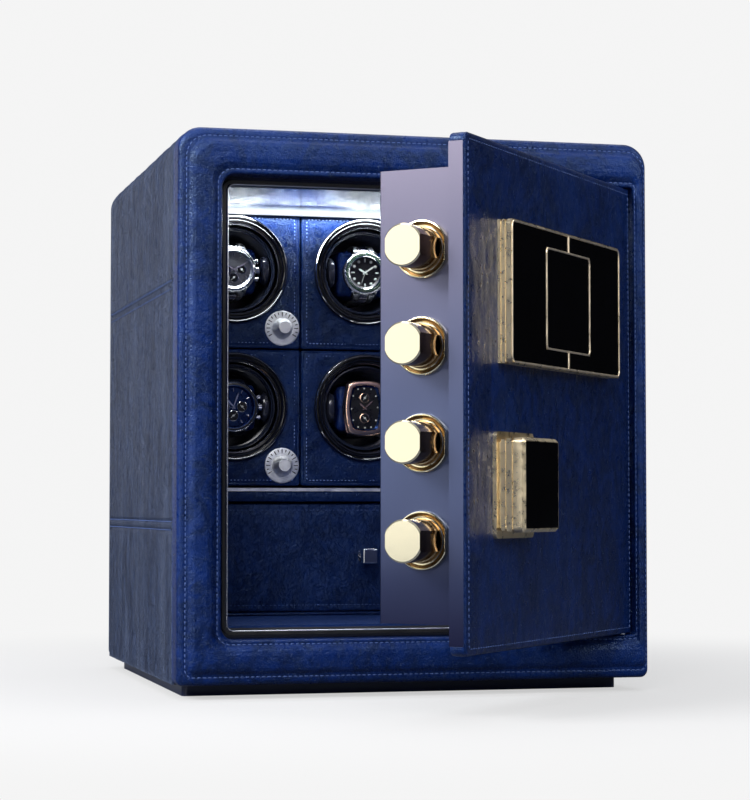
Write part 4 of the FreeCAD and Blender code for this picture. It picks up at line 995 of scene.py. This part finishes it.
def winder_panels():
    """Six padded leather panels, each with a hole for its ring, piping and a stitched edge."""
    panels, threads = Build(), Build()
    shares, heights = zip(*PANEL_SECTION[2:-1])
    fine = np.linspace(shares[0], shares[-1], 40)
    section = PANEL_SECTION[:2] + list(zip(fine, np.interp(fine, shares, heights))) + PANEL_SECTION[-1:]
    for number, cell in enumerate(CELLS):
        middle = cell_centre(cell)
        square = rounded(-PANEL_HALF[0], PANEL_HALF[0], -PANEL_HALF[1], PANEL_HALF[1], 2.5, (40, 40), 6)
        turn = np.arctan2(square[:, 1] - RING_LIFT, square[:, 0])
        hole = np.stack([PANEL_HOLE * np.cos(turn), RING_LIFT + PANEL_HOLE * np.sin(turn)], 1)
        loops = []
        for share, depth in section:
            outline = hole + (square - hole) * share
            x, z = outline[:, 0], outline[:, 1]
            ripple = 0.0
            if depth < 1.5:
                ripple = 0.4 * creases(x / 15, z / 15, 80 + number) + 0.25 * noise(x / 7, z / 7, 90 + number)
                ripple = ripple * min(1, share * 8, (1 - share) * 12)
            loops.append(upright(outline, depth - ripple) + middle)
        panels.add(tube(loops, close=True), PANEL_LEATHER)
        sewn = centred_outline(PANEL_HALF[0] - 5, PANEL_HALF[1] - 5, 3)
        threads.add(stitches(upright(sewn, -0.6) + middle, (0, -1, 0), 3.4, 2.1, 0.5), PANEL_THREAD)
        cord = centred_outline(PANEL_HALF[0] - 0.7, PANEL_HALF[1] - 0.7, 2)
        threads.add(bead(upright(cord, 0.4) + middle, 0.55), PANEL_LEATHER)
    panels.make("winder_panel_leather", "cabinet", "panel_leather", ("winder_panels",))
    threads.make("winder_panel_stitching", "cabinet", "panel_leather")


def bezel_rings():
    """Glossy black rings with stepped lips and two thin bright edges round each winder's mouth."""
    build = Build()
    profile = [(45.0, 9.8), (45.0, 1.5), (49.2, 0.2), (50.2, -0.8), (50.5, -2.4), (50.2, -3.9),
               (49.4, -4.9), (48.4, -5.1), (47.6, -4.4), (47.2, -3.4), (46.8, -3.2), (46.2, -4.3),
               (45.4, -4.7), (44.6, -4.2), (44.2, -3.0), (43.8, -2.7), (43.3, -3.4), (42.6, -3.3),
               (42.1, -2.2), (41.8, 0.0), (41.6, 9.8)]
    bright_edges = [[(48.75, -5.0), (49.0, -5.35), (49.3, -5.0), (49.2, -4.6), (48.85, -4.6)],
                    [(41.2, -1.4), (41.75, -2.2), (42.2, -1.6), (42.1, 0.4), (41.2, 0.4)]]
    for cell in CELLS:
        wider = [(radius + RING_GROWTH if radius > 44 else radius, depth) for radius, depth in profile]
        build.add(lathe(wider, ring_centre(cell), 120, close=True), RING_BLACK)
        for edge in bright_edges:
            build.add(lathe(edge, ring_centre(cell), 120, close=True), CHROME)
    build.make("winder_rings", "cabinet", "bezel_black", ("bezel_rings",))


# A cup's section, as (radius, depth): its stem, wall and stepped mouth, then its ribs, then its floor.
CUP_WALL, GRIP_HALF, GRIP_DEPTH = 37.0, 15.5, 21
CUP_OUTSIDE = [(3, 111.9), (3, 99), (7, 99), (7, 90), (40, 90), (40, 5), (39.4, 4.2), (38.4, 4.0),
               (37.9, 4.6), (37.7, 6.5), (36.9, 7.0), (36.6, 7.6), (36.6, 9.6), (37.4, 10.4)]
CUP_RIBS = [corner for rib in range(10) for corner in ((37.5, 16 + 6 * rib), (36.3, 16.4 + 6 * rib))]
CUP_FLOOR = [(37.4, 86.9), (0.02, 87)]


def winder_cups():
    """Turning cups with stepped lips, ribbed walls and two glossy side grips."""
    for cell in CELLS:
        build = Build()
        build.add(lathe(CUP_OUTSIDE + CUP_RIBS + CUP_FLOOR, ring_centre(cell), 96), CUP_BLACK)
        for side in (-1, 1):
            loops = []
            for reach in np.linspace(-1, 1, 15):
                width = math.sqrt(max(1 - abs(reach) ** 2.6, 0.0))
                z = reach * GRIP_HALF
                outer = side * math.sqrt(CUP_WALL ** 2 - z ** 2)
                half = 0.5 + 4.2 * width
                middle = outer - side * (half + 0.6)
                outline = []
                for turn in np.arange(20) * math.pi / 10:
                    across = squarish(math.cos(turn)) * half
                    deep = squarish(math.sin(turn)) * (1 + 15 * width)
                    outline.append((middle + across, GRIP_DEPTH + deep, z))
                loops.append(outline)
            build.add(tube(np.array(loops) + ring_centre(cell)), PAD_BLACK)
        build.make(f"cup_{cell}", f"rotor_{cell}", "cup_black", (f"winder_cup_{cell}",))


def speed_dials():
    """Silver speed dials with a fan of printed ticks over their upper half."""
    build = Build()
    edge = DIAL_RADIUS + DIAL_GROWTH
    profile = [(3.1, 0), (3.1, -1.9), (9.9, -2.0), (10.2, -1.7), (10.5, -2.0), (edge - 1.1, -2.0),
               (edge - 0.4, -1.8), (edge, -1.2), (edge, 0)]
    for cell in CELLS:
        middle = dial_centre(cell)
        build.add(lathe(profile, middle, 96, close=True), SILVER)
        for step in range(17):
            long = 3.8 if step % 2 == 0 else 2.4
            direction, side = compass(math.radians(-30 + step * 15))
            outer, inner = direction * (edge - 1.5), direction * (edge - 1.5 - long)
            corners = [inner + side * 0.3, inner - side * 0.3, outer - side * 0.5, outer + side * 0.5]
            loops = [np.array(corners) + middle + (0, depth, 0) for depth in (-2.25, -1.95)]
            build.add(tube(loops), PRINT)
    build.make("dial_plates", "cabinet", "dial_silver", ("speed_dials",))


CUSHION_INSET, CUSHION_EASE, CUSHION_VOXEL, CUSHION_GROWTH = 2.2, 5 * MM, 2.6 * MM, 2.6 * MM
CLOTH = {"use_pressure": True, "uniform_pressure_force": 4, "tension_stiffness": 22,
         "compression_stiffness": 22}
CLOTH_FRAMES = 20


def cushion_shape(cell):
    """The block that a cushion is blown up from, which is slightly smaller and has eased edges."""
    low, high = span(f"watch_cushion_{cell}")
    middle, half = (low + high) / 2, (high - low) / 2 - CUSHION_INSET
    mesh = bpy.data.meshes.new("cushion")
    work = bmesh.new()
    bmesh.ops.create_cube(work, size=2)
    for vertex in work.verts:
        vertex.co = Vector([middle[axis] + vertex.co[axis] * half[axis] for axis in range(3)]) * MM
    bmesh.ops.bevel(work, geom=work.edges[:], offset=CUSHION_EASE, segments=3, profile=0.5, affect="EDGES")
    work.to_mesh(mesh)
    work.free()
    return mesh, middle


def simulate(mesh):
    """Remesh, inflate with cloth pressure, cap the movement and return the resting mesh."""
    thing = bpy.data.objects.new("cushion_work", mesh)
    bpy.context.scene.collection.objects.link(thing)
    bpy.context.view_layer.objects.active = thing
    thing.select_set(True)
    remesh = thing.modifiers.new("remesh", "REMESH")
    remesh.mode = "VOXEL"
    remesh.voxel_size = CUSHION_VOXEL
    bpy.ops.object.modifier_apply(modifier="remesh")
    before = np.array([v.co for v in thing.data.vertices])
    cloth = thing.modifiers.new("cloth", "CLOTH")
    for key, value in CLOTH.items():
        setattr(cloth.settings, key, value)
    cloth.settings.effector_weights.gravity = 0
    for step in range(1, CLOTH_FRAMES + 1):
        bpy.context.scene.frame_set(step)
    bpy.ops.object.modifier_apply(modifier="cloth")
    bpy.context.scene.frame_set(1)
    after = np.array([v.co for v in thing.data.vertices])
    move = after - before
    reach = np.linalg.norm(move, axis=1)
    after = before + move * np.minimum(1, CUSHION_GROWTH / np.maximum(reach, 1e-9))[:, None]
    faces = [tuple(face.vertices) for face in thing.data.polygons]
    bpy.data.objects.remove(thing)
    return after / MM, faces


def watch_cushions():
    """Six cushions from one simulated shape, each with a cross seam and a pinched waist."""
    mesh, origin = cushion_shape(CELLS[0])
    points, faces = simulate(mesh)
    local = points - origin
    half = np.abs(local).max(0)
    share = local / half
    waist = 1 - 0.05 * np.clip(1 - np.abs(share[:, 2]) * 2, 0, 1)
    local[:, 0] *= waist
    seam = np.exp(-((np.abs(share[:, 0]) - 0.62) * half[0] / 1.1) ** 2)
    local[:, 1] += np.where(share[:, 1] < -0.5, 0.9 * seam, 0)
    local[:, 2] -= np.sign(share[:, 2]) * np.where(np.abs(share[:, 2]) > 0.6, 0.9 * seam, 0)
    ripple = 0.35 * creases(local[:, 0] / 8 + local[:, 2] / 20, local[:, 1] / 8 + local[:, 2] / 9, 41)
    local += unit(local) * (ripple[:, None] + 0.1)
    for cell in CELLS:
        low, high = span(f"watch_cushion_{cell}")
        build = Build().add((local + (low + high) / 2, faces), CUSHION_LEATHER)
        name = f"cushion_{cell}"
        cushion = build.make(name, name, "cushion_leather", (f"watch_cushion_{cell}",))
        smooth = cushion.modifiers.new("smooth", "SUBSURF")
        smooth.levels = 1
        smooth.render_levels = 1


# ---------------------------------------------------------------- the watches

STRAP_OUT = 1.6
FACE_DEPTH = 1.0
LINK_PITCH = 4.7


def strap_loop(cell, reach):
    """A strap's path round a cushion, from the case's upper end to its lower one, with outward normals."""
    low, high = span(f"watch_cushion_{cell}")
    front, back = low[1] - PANEL_FRONT, high[1] - PANEL_FRONT + STRAP_OUT
    top = (high[2] - low[2]) / 2 + STRAP_OUT
    landing, bend = front + 9, 10
    upper = []
    for share in np.linspace(0, 1, 12)[:-1]:
        first, second, third = (1 - share) ** 2, 2 * share * (1 - share), share ** 2
        upper.append((first * (front - 5.5) + second * (front - 3) + third * landing,
                      first * reach + second * top + third * top))
    upper += [(y, top) for y in np.linspace(landing, back - bend, 16)[:-1]]
    upper += [(back - bend + bend * math.sin(turn), top - bend + bend * math.cos(turn))
              for turn in np.linspace(0, math.pi / 2, 7)]
    flat = np.array(upper + [(back, z) for z in np.linspace(top - bend, bend - top, 9)[1:-1]]
                    + [(y, -z) for y, z in reversed(upper)])
    path = np.stack([np.zeros(len(flat)), flat[:, 0], flat[:, 1]], 1) + ring_centre(cell)
    return path, unit(np.cross(np.gradient(path, axis=0), (1, 0, 0)))


def bracelet(build, cell, reach, wide, narrow, outer, inner):
    """A three-row steel bracelet: rounded links that follow the strap's path and grow narrower."""
    path, _ = strap_loop(cell, reach)
    spots, tangents = along(path, LINK_PITCH, closed=False)
    for number, (spot, tangent) in enumerate(zip(spots, tangents)):
        axes = ((1, 0, 0), tangent, unit(np.cross(tangent, (1, 0, 0))))
        from_case = min(number, len(spots) - 1 - number) / 12
        half = (wide + (narrow - wide) * min(from_case, 1)) / 2
        for offset, share, shift, material in ((-0.73, 0.27, 0, outer), (0, 0.44, 1.15, inner),
                                               (0.73, 0.27, 0, outer)):
            middle = spot + np.array([offset * half, 0, 0]) + tangent * shift
            build.add(brick(middle, axes, (half * share - 0.08, 2.2, 1.15), 0.45), material)


def strap(build, cell, reach, wide, narrow, material, sewn):
    """A padded strap with a domed face and a row of stitches along each edge."""
    path, normal = strap_loop(cell, reach)
    steps = distances(path)
    from_case = np.minimum(np.minimum(steps, steps[-1] - steps) / 55, 1)
    half = (wide + (narrow - wide) * from_case) / 2
    sections = []
    for edge, pad in zip(half, 0.9 * (1 - from_case)):
        sections.append([(-edge, -1.0), (edge, -1.0), (edge + 0.1, 0.4), (edge - 0.8, 1.1),
                         (edge * 0.6, 1.2 + pad), (0, 1.3 + pad), (-edge * 0.6, 1.2 + pad),
                         (0.8 - edge, 1.1), (-edge - 0.1, 0.4)])
    build.add(sweep(path, normal, np.array(sections)), material)
    for side in (-1, 1):
        line = path + normal * 1.2 + np.stack([side * (half - 1.6), half * 0, half * 0], 1)
        spots, _ = along(line, 3.2, closed=False)
        out = np.array([normal[np.argmin(np.linalg.norm(line - spot, axis=1))] for spot in spots])
        build.add(stitches(line, out, 3.2, 2.1, 0.3, closed=False), sewn)


def lugs(build, middle, radius, reach, half, metal_kind, thick=2.6):
    """Four curved horns from the case to the strap."""
    for side in (-1, 1):
        for end in (-1, 1):
            loops = []
            for share in np.linspace(0, 1, 8):
                across = side * (half + 1.5 - 0.6 * share)
                up = end * (radius * 0.72 + (reach - radius * 0.72 + 3.5) * share)
                deep = 5.0 + 5.5 * share ** 1.8
                wide = thick * (1 - 0.25 * share) / 2
                tall = 3.6 * (1 - 0.55 * share)
                loops.append([(across + wide * squarish(math.cos(t)), deep + tall * squarish(math.sin(t)), up)
                              for t in np.arange(12) * math.pi / 6])
            build.add(tube(np.array(loops) + middle), metal_kind)


def dial_marks(build, middle, radius, material, long=3.0, wide=0.9, skip=(), depth=0.0, dots=False):
    """Twelve hour marks: batons, or round dots with batons at 6, 9 and 12."""
    for hour in range(12):
        if hour in skip:
            continue
        direction, side = compass(math.pi / 2 - hour * math.pi / 6)
        spot = middle + direction * (radius - long / 2) + np.array([0, depth, 0])
        if dots and hour % 3:
            disc_profile = [(0.02, 0.2), (1.35, 0.2), (1.35, -0.15), (1.1, -0.3), (0.02, -0.3)]
            build.add(lathe(disc_profile, spot, 20), material)
        else:
            length = long * (1.25 if hour % 3 == 0 else 1) / 2
            build.add(brick(spot, (direction, side, (0, 1, 0)), (length, wide / 2, 0.3), 0.12), material)


def hands(build, middle, angles, depth, material):
    """Tapered hands on one post: angles lists (degrees clockwise from 12, length, width)."""
    for level, (degrees, length, width) in enumerate(angles):
        direction, side = compass(math.pi / 2 - math.radians(degrees))
        corners = [direction * -2.6 + side * width * 0.3, direction * -2.6 - side * width * 0.3,
                   direction * length * 0.7 - side * width / 2, direction * length,
                   direction * length * 0.7 + side * width / 2]
        base = depth - 0.35 * level
        build.add(tube([np.array(corners) + middle + (0, base + d, 0) for d in (-0.12, 0.12)]), material)
    build.add(lathe([(0.02, depth + 0.4), (1.0, depth + 0.4), (1.0, depth - 1.0), (0.7, depth - 1.3),
                     (0.02, depth - 1.3)], middle, 20), material)


def crown(build, middle, reach, metal_kind, radius=3.0, up=0.0):
    """A fluted winding crown on the case's right side."""
    loops = []
    for out, share in ((reach - 1.5, 0.55), (reach + 0.3, 0.6), (reach + 0.4, 0.95), (reach + 3.2, 1.0),
                       (reach + 3.7, 0.8)):
        loops.append([(out, 5.6 + radius * share * math.cos(t) * (1 + 0.05 * (step % 2)),
                       up + radius * share * math.sin(t) * (1 + 0.05 * (step % 2)))
                      for step, t in enumerate(np.arange(36) * math.pi / 18)])
    build.add(tube(np.array(loops) + middle), metal_kind)


def sub_dials(build, middle, spots, radius, face, rim, hand):
    """Small counters let into a dial, each with a bright rim and one hand."""
    for number, (across, up) in enumerate(spots):
        centre = middle + np.array([across, 0, up])
        plate = [(0.02, 2.35), (radius - 0.3, 2.35), (radius - 0.3, 2.0), (0.02, 2.0)]
        build.add(lathe(plate, centre, 40), face)
        build.add(lathe([(radius - 0.5, 2.5), (radius, 2.5), (radius, 1.85), (radius - 0.25, 1.75),
                         (radius - 0.5, 1.9)], centre, 40, close=True), rim)
        hands(build, centre, ((40 + 95 * number, radius * 0.75, 0.5),), 1.8, hand)


def round_case(build, middle, radius, bezel, metal_kind, insert, face):
    """A round case on the cushion with a bezel ring, a recessed dial and a sloping inner rim."""
    back, rim = 12.4, bezel - 0.1
    shell = [(radius - 3, back), (radius - 1.2, back - 1.4), (radius - 0.2, back - 3.4), (radius, 6.0),
             (radius - 0.4, 3.6), (radius - 1.2, 2.6), (bezel, 2.4), (bezel, 9.0), (radius - 6, back)]
    ring = [(radius - 0.9, 2.9), (radius - 0.5, 1.6), (radius - 1.4, 0.2), (radius - 1.9, 0.0),
            (radius - 2.1, 0.5), (bezel + 0.8, 0.1), (bezel + 0.3, -0.2), (bezel - 0.2, 0.2),
            (bezel - 0.2, 2.9)]
    band = [(radius - 2.1, 0.75), (radius - 2.2, 0.15), (bezel + 0.9, -0.1), (bezel + 0.85, 0.75)]
    slope = [(rim, 0.7), (bezel - 1.9, 2.2), (bezel - 1.9, 2.6), (rim, 2.6)]
    for profile, material in ((shell, metal_kind), (ring, metal_kind), (band, insert), (slope, face)):
        build.add(lathe(profile, middle, 96, close=True), material)
    build.add(lathe([(0.02, 3.2), (bezel - 0.6, 3.2), (bezel - 0.6, 2.3), (0.02, 2.3)], middle, 96), face)


def watch_middle(cell):
    return ring_centre(cell) + (0, FACE_DEPTH, 0)


def steel_chronograph(cell):
    build, middle = Build(), watch_middle(cell)
    round_case(build, middle, 21.5, 17.6, STEEL, CHROME, DIAL_GREY)
    sub_dials(build, middle, ((-7.4, 0), (7.4, 0), (0, -7.6)), 4.4, DIAL_BLACK, CHROME, LUME)
    dial_marks(build, middle, 15.2, CHROME, 2.6, 0.9, (3, 6, 9), 2.2)
    hands(build, middle, ((305, 8.5, 1.7), (62, 13.0, 1.5), (150, 14.5, 0.4)), 1.5, CHROME)
    for up in (-8.5, 8.5):
        crown(build, middle, 20.2, CHROME, 1.9, up)
    crown(build, middle, 21.2, CHROME)
    lugs(build, middle, 21.5, 20.0, 10.0, STEEL)
    bracelet(build, cell, 20.0, 20.0, 16.5, STEEL, CHROME)
    build.make("steel_chronograph", f"cushion_{cell}", "polished_steel")


def steel_diver(cell):
    build, middle = Build(), watch_middle(cell)
    round_case(build, middle, 20.8, 15.2, CHROME, GREEN, DIAL_BLACK)
    for step in range(60):
        direction, side = compass(math.radians(step * 6))
        axes = (direction, side, (0, 1, 0))
        long = 1.0 if step % 5 == 0 else 0.5
        build.add(brick(middle + direction * 17.3 + (0, -0.02, 0), axes, (long, 0.22, 0.14), 0.05), LUME)
        build.add(brick(middle + direction * 20.3 + (0, 1.5, 0), axes, (0.5, 0.6, 0.9), 0.2), CHROME)
    dial_marks(build, middle, 13.2, LUME, 2.8, 1.3, (), 2.2, dots=True)
    hands(build, middle, ((300, 7.5, 2.0), (55, 11.5, 1.6), (200, 12.5, 0.4)), 1.5, LUME)
    crown(build, middle, 20.6, CHROME, 3.3)
    lugs(build, middle, 20.8, 19.5, 10.0, CHROME)
    bracelet(build, cell, 19.5, 20.0, 16.5, STEEL, CHROME)
    build.make("steel_diver", f"cushion_{cell}", "polished_steel")


def blue_chronograph(cell):
    build, middle = Build(), watch_middle(cell)
    round_case(build, middle, 24.2, 19.6, CHROME, DARK_PLASTIC, DIAL_BLUE)
    sub_dials(build, middle, ((-8.2, 0), (8.2, 0), (0, -8.4)), 5.0, DIAL_BLACK, CHROME, LUME)
    dial_marks(build, middle, 17.2, CHROME, 2.8, 0.9, (3, 6, 9), 2.2)
    hands(build, middle, ((318, 9.5, 1.8), (20, 14.5, 1.5), (250, 16.0, 0.4)), 1.5, CHROME)
    for up in (-9.5, 9.5):
        crown(build, middle, 22.6, CHROME, 2.0, up)
    crown(build, middle, 24.0, CHROME, 3.3)
    lugs(build, middle, 24.2, 22.0, 11.0, CHROME, 3.2)
    strap(build, cell, 21.5, 22.0, 18.0, STRAP_LEATHER, THREAD)
    build.make("blue_chronograph", f"cushion_{cell}", "polished_steel")


def barrel_outline(half_wide, half_tall, bulge, count=22):
    """A barrel shape: bowed sides between shorter, gently bowed ends."""
    side = [(half_wide + bulge * math.cos(s * math.pi / 2), half_tall * 0.86 * s)
            for s in np.linspace(-1, 1, count)]
    top = [(half_wide * 0.92 * s, half_tall * (0.86 + 0.14 * math.sqrt(1 - 0.92 * s * s)))
           for s in np.linspace(1, -1, count)]
    right = np.array(side + top)
    return np.concatenate([right, -right])


def rose_barrel(cell):
    """A barrel-shaped rose gold watch with a plain polished bezel, on a dark strap."""
    build, middle = Build(), watch_middle(cell)
    loops = []
    for inset, depth in ((2.2, 12.4), (0.4, 11.0), (0, 8.6), (0.2, 4.4), (1.2, 3.4), (1.2, 2.6),
                         (0.5, 2.2), (0.5, 0.6), (1.0, -0.2), (2.2, -0.7), (4.6, -0.6), (5.0, -0.1),
                         (5.0, 3.0), (5.4, 9.0)):
        loops.append(upright(barrel_outline(17.2 - inset, 26.5 - inset, 3.2), depth) + middle)
    build.add(tube(np.array(loops), close=True), ROSE)
    plate = [upright(barrel_outline(12.5, 21.8, 3.2), depth) + middle for depth in (3.4, 4.2)]
    build.add(tube(plate), DIAL_BLACK)
    rim = [upright(barrel_outline(12.3 - i, 21.6 - i, 3.2), depth) + middle
           for i, depth in ((0, 0.6), (1.8, 1.8), (1.8, 2.6), (0, 2.6))]
    build.add(tube(np.array(rim), close=True), DIAL_BLUE)
    outline = barrel_outline(9.6, 18.6, 3.2)
    dot = [(0.02, 3.4), (0.75, 3.4), (0.75, 3.0), (0.02, 2.8)]
    for hour in range(12):
        across, up = outline[int(hour * len(outline) / 12 + 11) % len(outline)]
        build.add(lathe(dot, middle + (across, 0, up), 14), LUME)
    sub_dials(build, middle + (0, 0.9, 0), ((0, 9.5), (0, -9.5)), 4.6, DIAL_BLACK, ROSE, LUME)
    hands(build, middle, ((312, 7.0, 1.8), (48, 10.5, 1.5)), 2.2, ROSE)
    crown(build, middle, 19.8, ROSE, 3.6)
    strap(build, cell, 23.0, 25.0, 20.0, STRAP_LEATHER, THREAD)
    build.make("rose_barrel", f"cushion_{cell}", "gold")


# ---------------------------------------------------------------- the shelf and the drawer

def shelf_leather():
    """Leather bands over the shelf's edge and the drawer deck's edge."""

    def small_folds(x, z):
        return 0.25 * noise(x / 9, z / 5, 33) + 0.2 * creases(x / 20, z / 9, 34)

    low, high = span("shelf")
    band = cushioned(low[0] + 0.3, high[0] - 0.3, low[2] + 0.2, high[2] - 3.1, low[1] - 1.2, low[1] + 0.5,
                     0.6, 1.0, small_folds)
    Build().add(band, PANEL_LEATHER).make("shelf_band", "cabinet", "panel_leather")
    low, high = span("drawer_deck")
    ledge = cushioned(low[0] + 0.3, high[0] - 0.3, low[2] + 0.3, high[2] - 0.2, low[1] - 1.3, low[1] + 0.5,
                      0.7, 1.2, small_folds)
    Build().add(ledge, PANEL_LEATHER).make("deck_band", "cabinet", "lining_leather")


def drawer_front():
    """The drawer's leather front, with a sewn border and soft diagonal creases."""
    low, high = span("drawer_front")
    hem = 6

    def folds(x, z):
        border = border_distance(x, z, low[0], high[0], low[2], high[2])
        groove = -0.5 * np.exp(-((border - hem) / 0.7) ** 2)
        diagonal = 0.6 * creases((x + z * 0.8) / 34, (z - x * 0.5) / 60, 52, 2)
        return diagonal + groove + 0.2 * noise(x / 7, z / 7, 53)

    front = cushioned(low[0], high[0], low[2], high[2], low[1] + 0.2, high[1], 0.8, 1.6, folds, 2.2)
    Build().add(front, DRAWER_LEATHER).make("drawer_face", "drawer", "lining_leather", ("drawer_front",))
    outline = rounded(low[0] + hem, high[0] - hem, low[2] + hem, high[2] - hem, 2, (60, 30), 4)
    sewn = stitches(upright(outline, low[1]), (0, -1, 0), 3.8, 2.5, 0.34)
    Build().add(sewn, THREAD).make("drawer_stitching", "drawer", "lining_leather")


# ---------------------------------------------------------------- light, floor and camera

PALE = (0.91, 0.91, 0.91)
FLOOR_HALF = 12
AIM = (0, 0, 0.25)
# Soft boxes: where each stands and aims, and its width and height, in metres; its power in watts.
SOFT_BOXES = {
    "left_card": ((-2.1, -0.95, 0.53), (0, 0, 0.45), (1.2, 0.95), 4.1),
    "left_high": ((-2.0, -0.9, 1.5), AIM, (1.5, 0.9), 85),
    "key": ((-0.7, -2.4, 1.9), AIM, (1.4, 1.0), 32),
    "right_front": ((1.7, -2.0, 1.3), AIM, (0.9, 1.2), 22),
    "top": ((0.1, 0.2, 2.2), AIM, (1.6, 1.6), 20),
    "front_strip": ((-1.25, -2.4, 0.5), (0, 0, 0.3), (0.25, 1.6), 10),
    "side_sheen": ((-1.1, 2.6, 0.7), (-0.2, 0, 0.25), (1.2, 1.2), 3.2),
}
LAMP_POWER, LAMP_COLOUR = 0.6, (0.88, 0.94, 1.0)
CAMERA_PLACE = (-0.5267, -2.1062, 0.1631)
CAMERA_AZIMUTH, CAMERA_ELEVATION = math.radians(14.43), math.radians(2.65)
CAMERA_LENS, CAMERA_SENSOR = 102.74, 36


def area_light(name, place, aim, size, power, colour=(1, 1, 1)):
    """A soft box that lights the object but isn't seen by the camera."""
    data = bpy.data.lights.new(name, "AREA")
    data.shape = "RECTANGLE"
    data.size, data.size_y = size
    data.energy = power
    data.color = colour
    lamp = bpy.data.objects.new(name, data)
    lamp.location = place
    lamp.rotation_mode = "QUATERNION"
    lamp.rotation_quaternion = (Vector(aim) - Vector(place)).to_track_quat("-Z", "Y")
    lamp.visible_camera = False
    bpy.context.scene.collection.objects.link(lamp)


def camera_only(tree, seen, unseen):
    """seen for what the camera sees directly, and unseen for everything that is lit or mirrored."""
    path = tree.nodes.new("ShaderNodeLightPath")
    mix = tree.nodes.new("ShaderNodeMixShader")
    tree.links.new(path.outputs["Is Camera Ray"], mix.inputs[0])
    tree.links.new(unseen, mix.inputs[1])
    tree.links.new(seen, mix.inputs[2])
    return mix.outputs[0]


def surround():
    """Plain pale surroundings, which light the object softly from above."""
    world = bpy.data.worlds.new("surround")
    world.use_nodes = True
    tree = world.node_tree
    seen = tree.nodes["Background"]
    seen.inputs[0].default_value = (*PALE, 1)
    unseen = tree.nodes.new("ShaderNodeBackground")
    split = tree.nodes.new("ShaderNodeSeparateXYZ")
    tree.links.new(tree.nodes.new("ShaderNodeTexCoord").outputs["Generated"], split.inputs[0])
    fade = tree.nodes.new("ShaderNodeMapRange")
    tree.links.new(split.outputs["Z"], fade.inputs["Value"])
    for key, number in (("From Min", 0.14), ("From Max", 0.9), ("To Min", 0.006), ("To Max", 0.5)):
        fade.inputs[key].default_value = number
    unseen.inputs[0].default_value = (0.85, 0.9, 1.0, 1)
    tree.links.new(fade.outputs[0], unseen.inputs[1])
    both = camera_only(tree, seen.outputs[0], unseen.outputs[0])
    tree.links.new(both, tree.nodes["World Output"].inputs[0])
    return world


def floor_paint():
    """A matt pale floor that fades into the surroundings far from the object."""
    s = Shader("floor_paint")
    s.bump(s.noise(3, 3), 0.01)
    s.set(Base_Color=(0.55, 0.55, 0.56), Roughness=0.8, Specular_IOR_Level=0.1)
    tree = s.tree
    length = tree.nodes.new("ShaderNodeVectorMath")
    length.operation = "LENGTH"
    tree.links.new(s.place, length.inputs[0])
    far = s.span(length.outputs["Value"], 0.3, 0.9, 0.62, 1.0)
    glow = tree.nodes.new("ShaderNodeEmission")
    glow.inputs[0].default_value = (*PALE, 1)
    pale = tree.nodes.new("ShaderNodeMixShader")
    tree.links.new(far, pale.inputs[0])
    tree.links.new(s.surface.outputs[0], pale.inputs[1])
    tree.links.new(glow.outputs[0], pale.inputs[2])
    shade = tree.nodes.new("ShaderNodeBsdfDiffuse")
    shade.inputs[0].default_value = (0.12, 0.13, 0.16, 1)
    tree.links.new(camera_only(tree, pale.outputs[0], shade.outputs[0]), s.output.inputs["Surface"])
    return s.material


def studio():
    """A pale floor, a pale surround, soft boxes and the cabinet's own lamp."""
    mesh = bpy.data.meshes.new("floor")
    corners = [(x * FLOOR_HALF, y * FLOOR_HALF, 0) for x, y in ((-1, -1), (1, -1), (1, 1), (-1, 1))]
    mesh.from_pydata(corners, [], [(0, 1, 2, 3)])
    floor = bpy.data.objects.new("floor", mesh)
    mesh.materials.append(floor_paint())
    bpy.context.scene.collection.objects.link(floor)
    bpy.context.scene.world = surround()
    for name, setting in SOFT_BOXES.items():
        area_light(name, *setting)
    low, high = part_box("lamp_strip")
    across, back = (low.x + high.x) / 2, (low.y + high.y) / 2
    area_light("cabinet_lamp", (across, back, low.z - 0.002), (across, back - 0.04, 0.1),
               (high.x - low.x, 0.01), LAMP_POWER, LAMP_COLOUR)
    bpy.context.scene.view_settings.view_transform = "Standard"


def camera():
    """A long lens a little left of the cabinet's front and slightly below its middle."""
    data = bpy.data.cameras.new("camera")
    data.sensor_width = CAMERA_SENSOR
    data.lens = CAMERA_LENS
    thing = bpy.data.objects.new("camera", data)
    thing.location = CAMERA_PLACE
    level = math.cos(CAMERA_ELEVATION)
    forward = Vector((math.sin(CAMERA_AZIMUTH) * level, math.cos(CAMERA_AZIMUTH) * level,
                      math.sin(CAMERA_ELEVATION)))
    thing.rotation_mode = "QUATERNION"
    thing.rotation_quaternion = forward.to_track_quat("-Z", "Y")
    bpy.context.scene.collection.objects.link(thing)
    bpy.context.scene.camera = thing


frame_leather()
side_leather()
back_leather()
door_leather()
keypad_lines()
collar_rings()
jamb_line()
winder_panels()
bezel_rings()
winder_cups()
speed_dials()
watch_cushions()
steel_chronograph("top_left")
steel_diver("top_centre")
blue_chronograph("bottom_left")
rose_barrel("bottom_centre")
shelf_leather()
drawer_front()
studio()
camera()
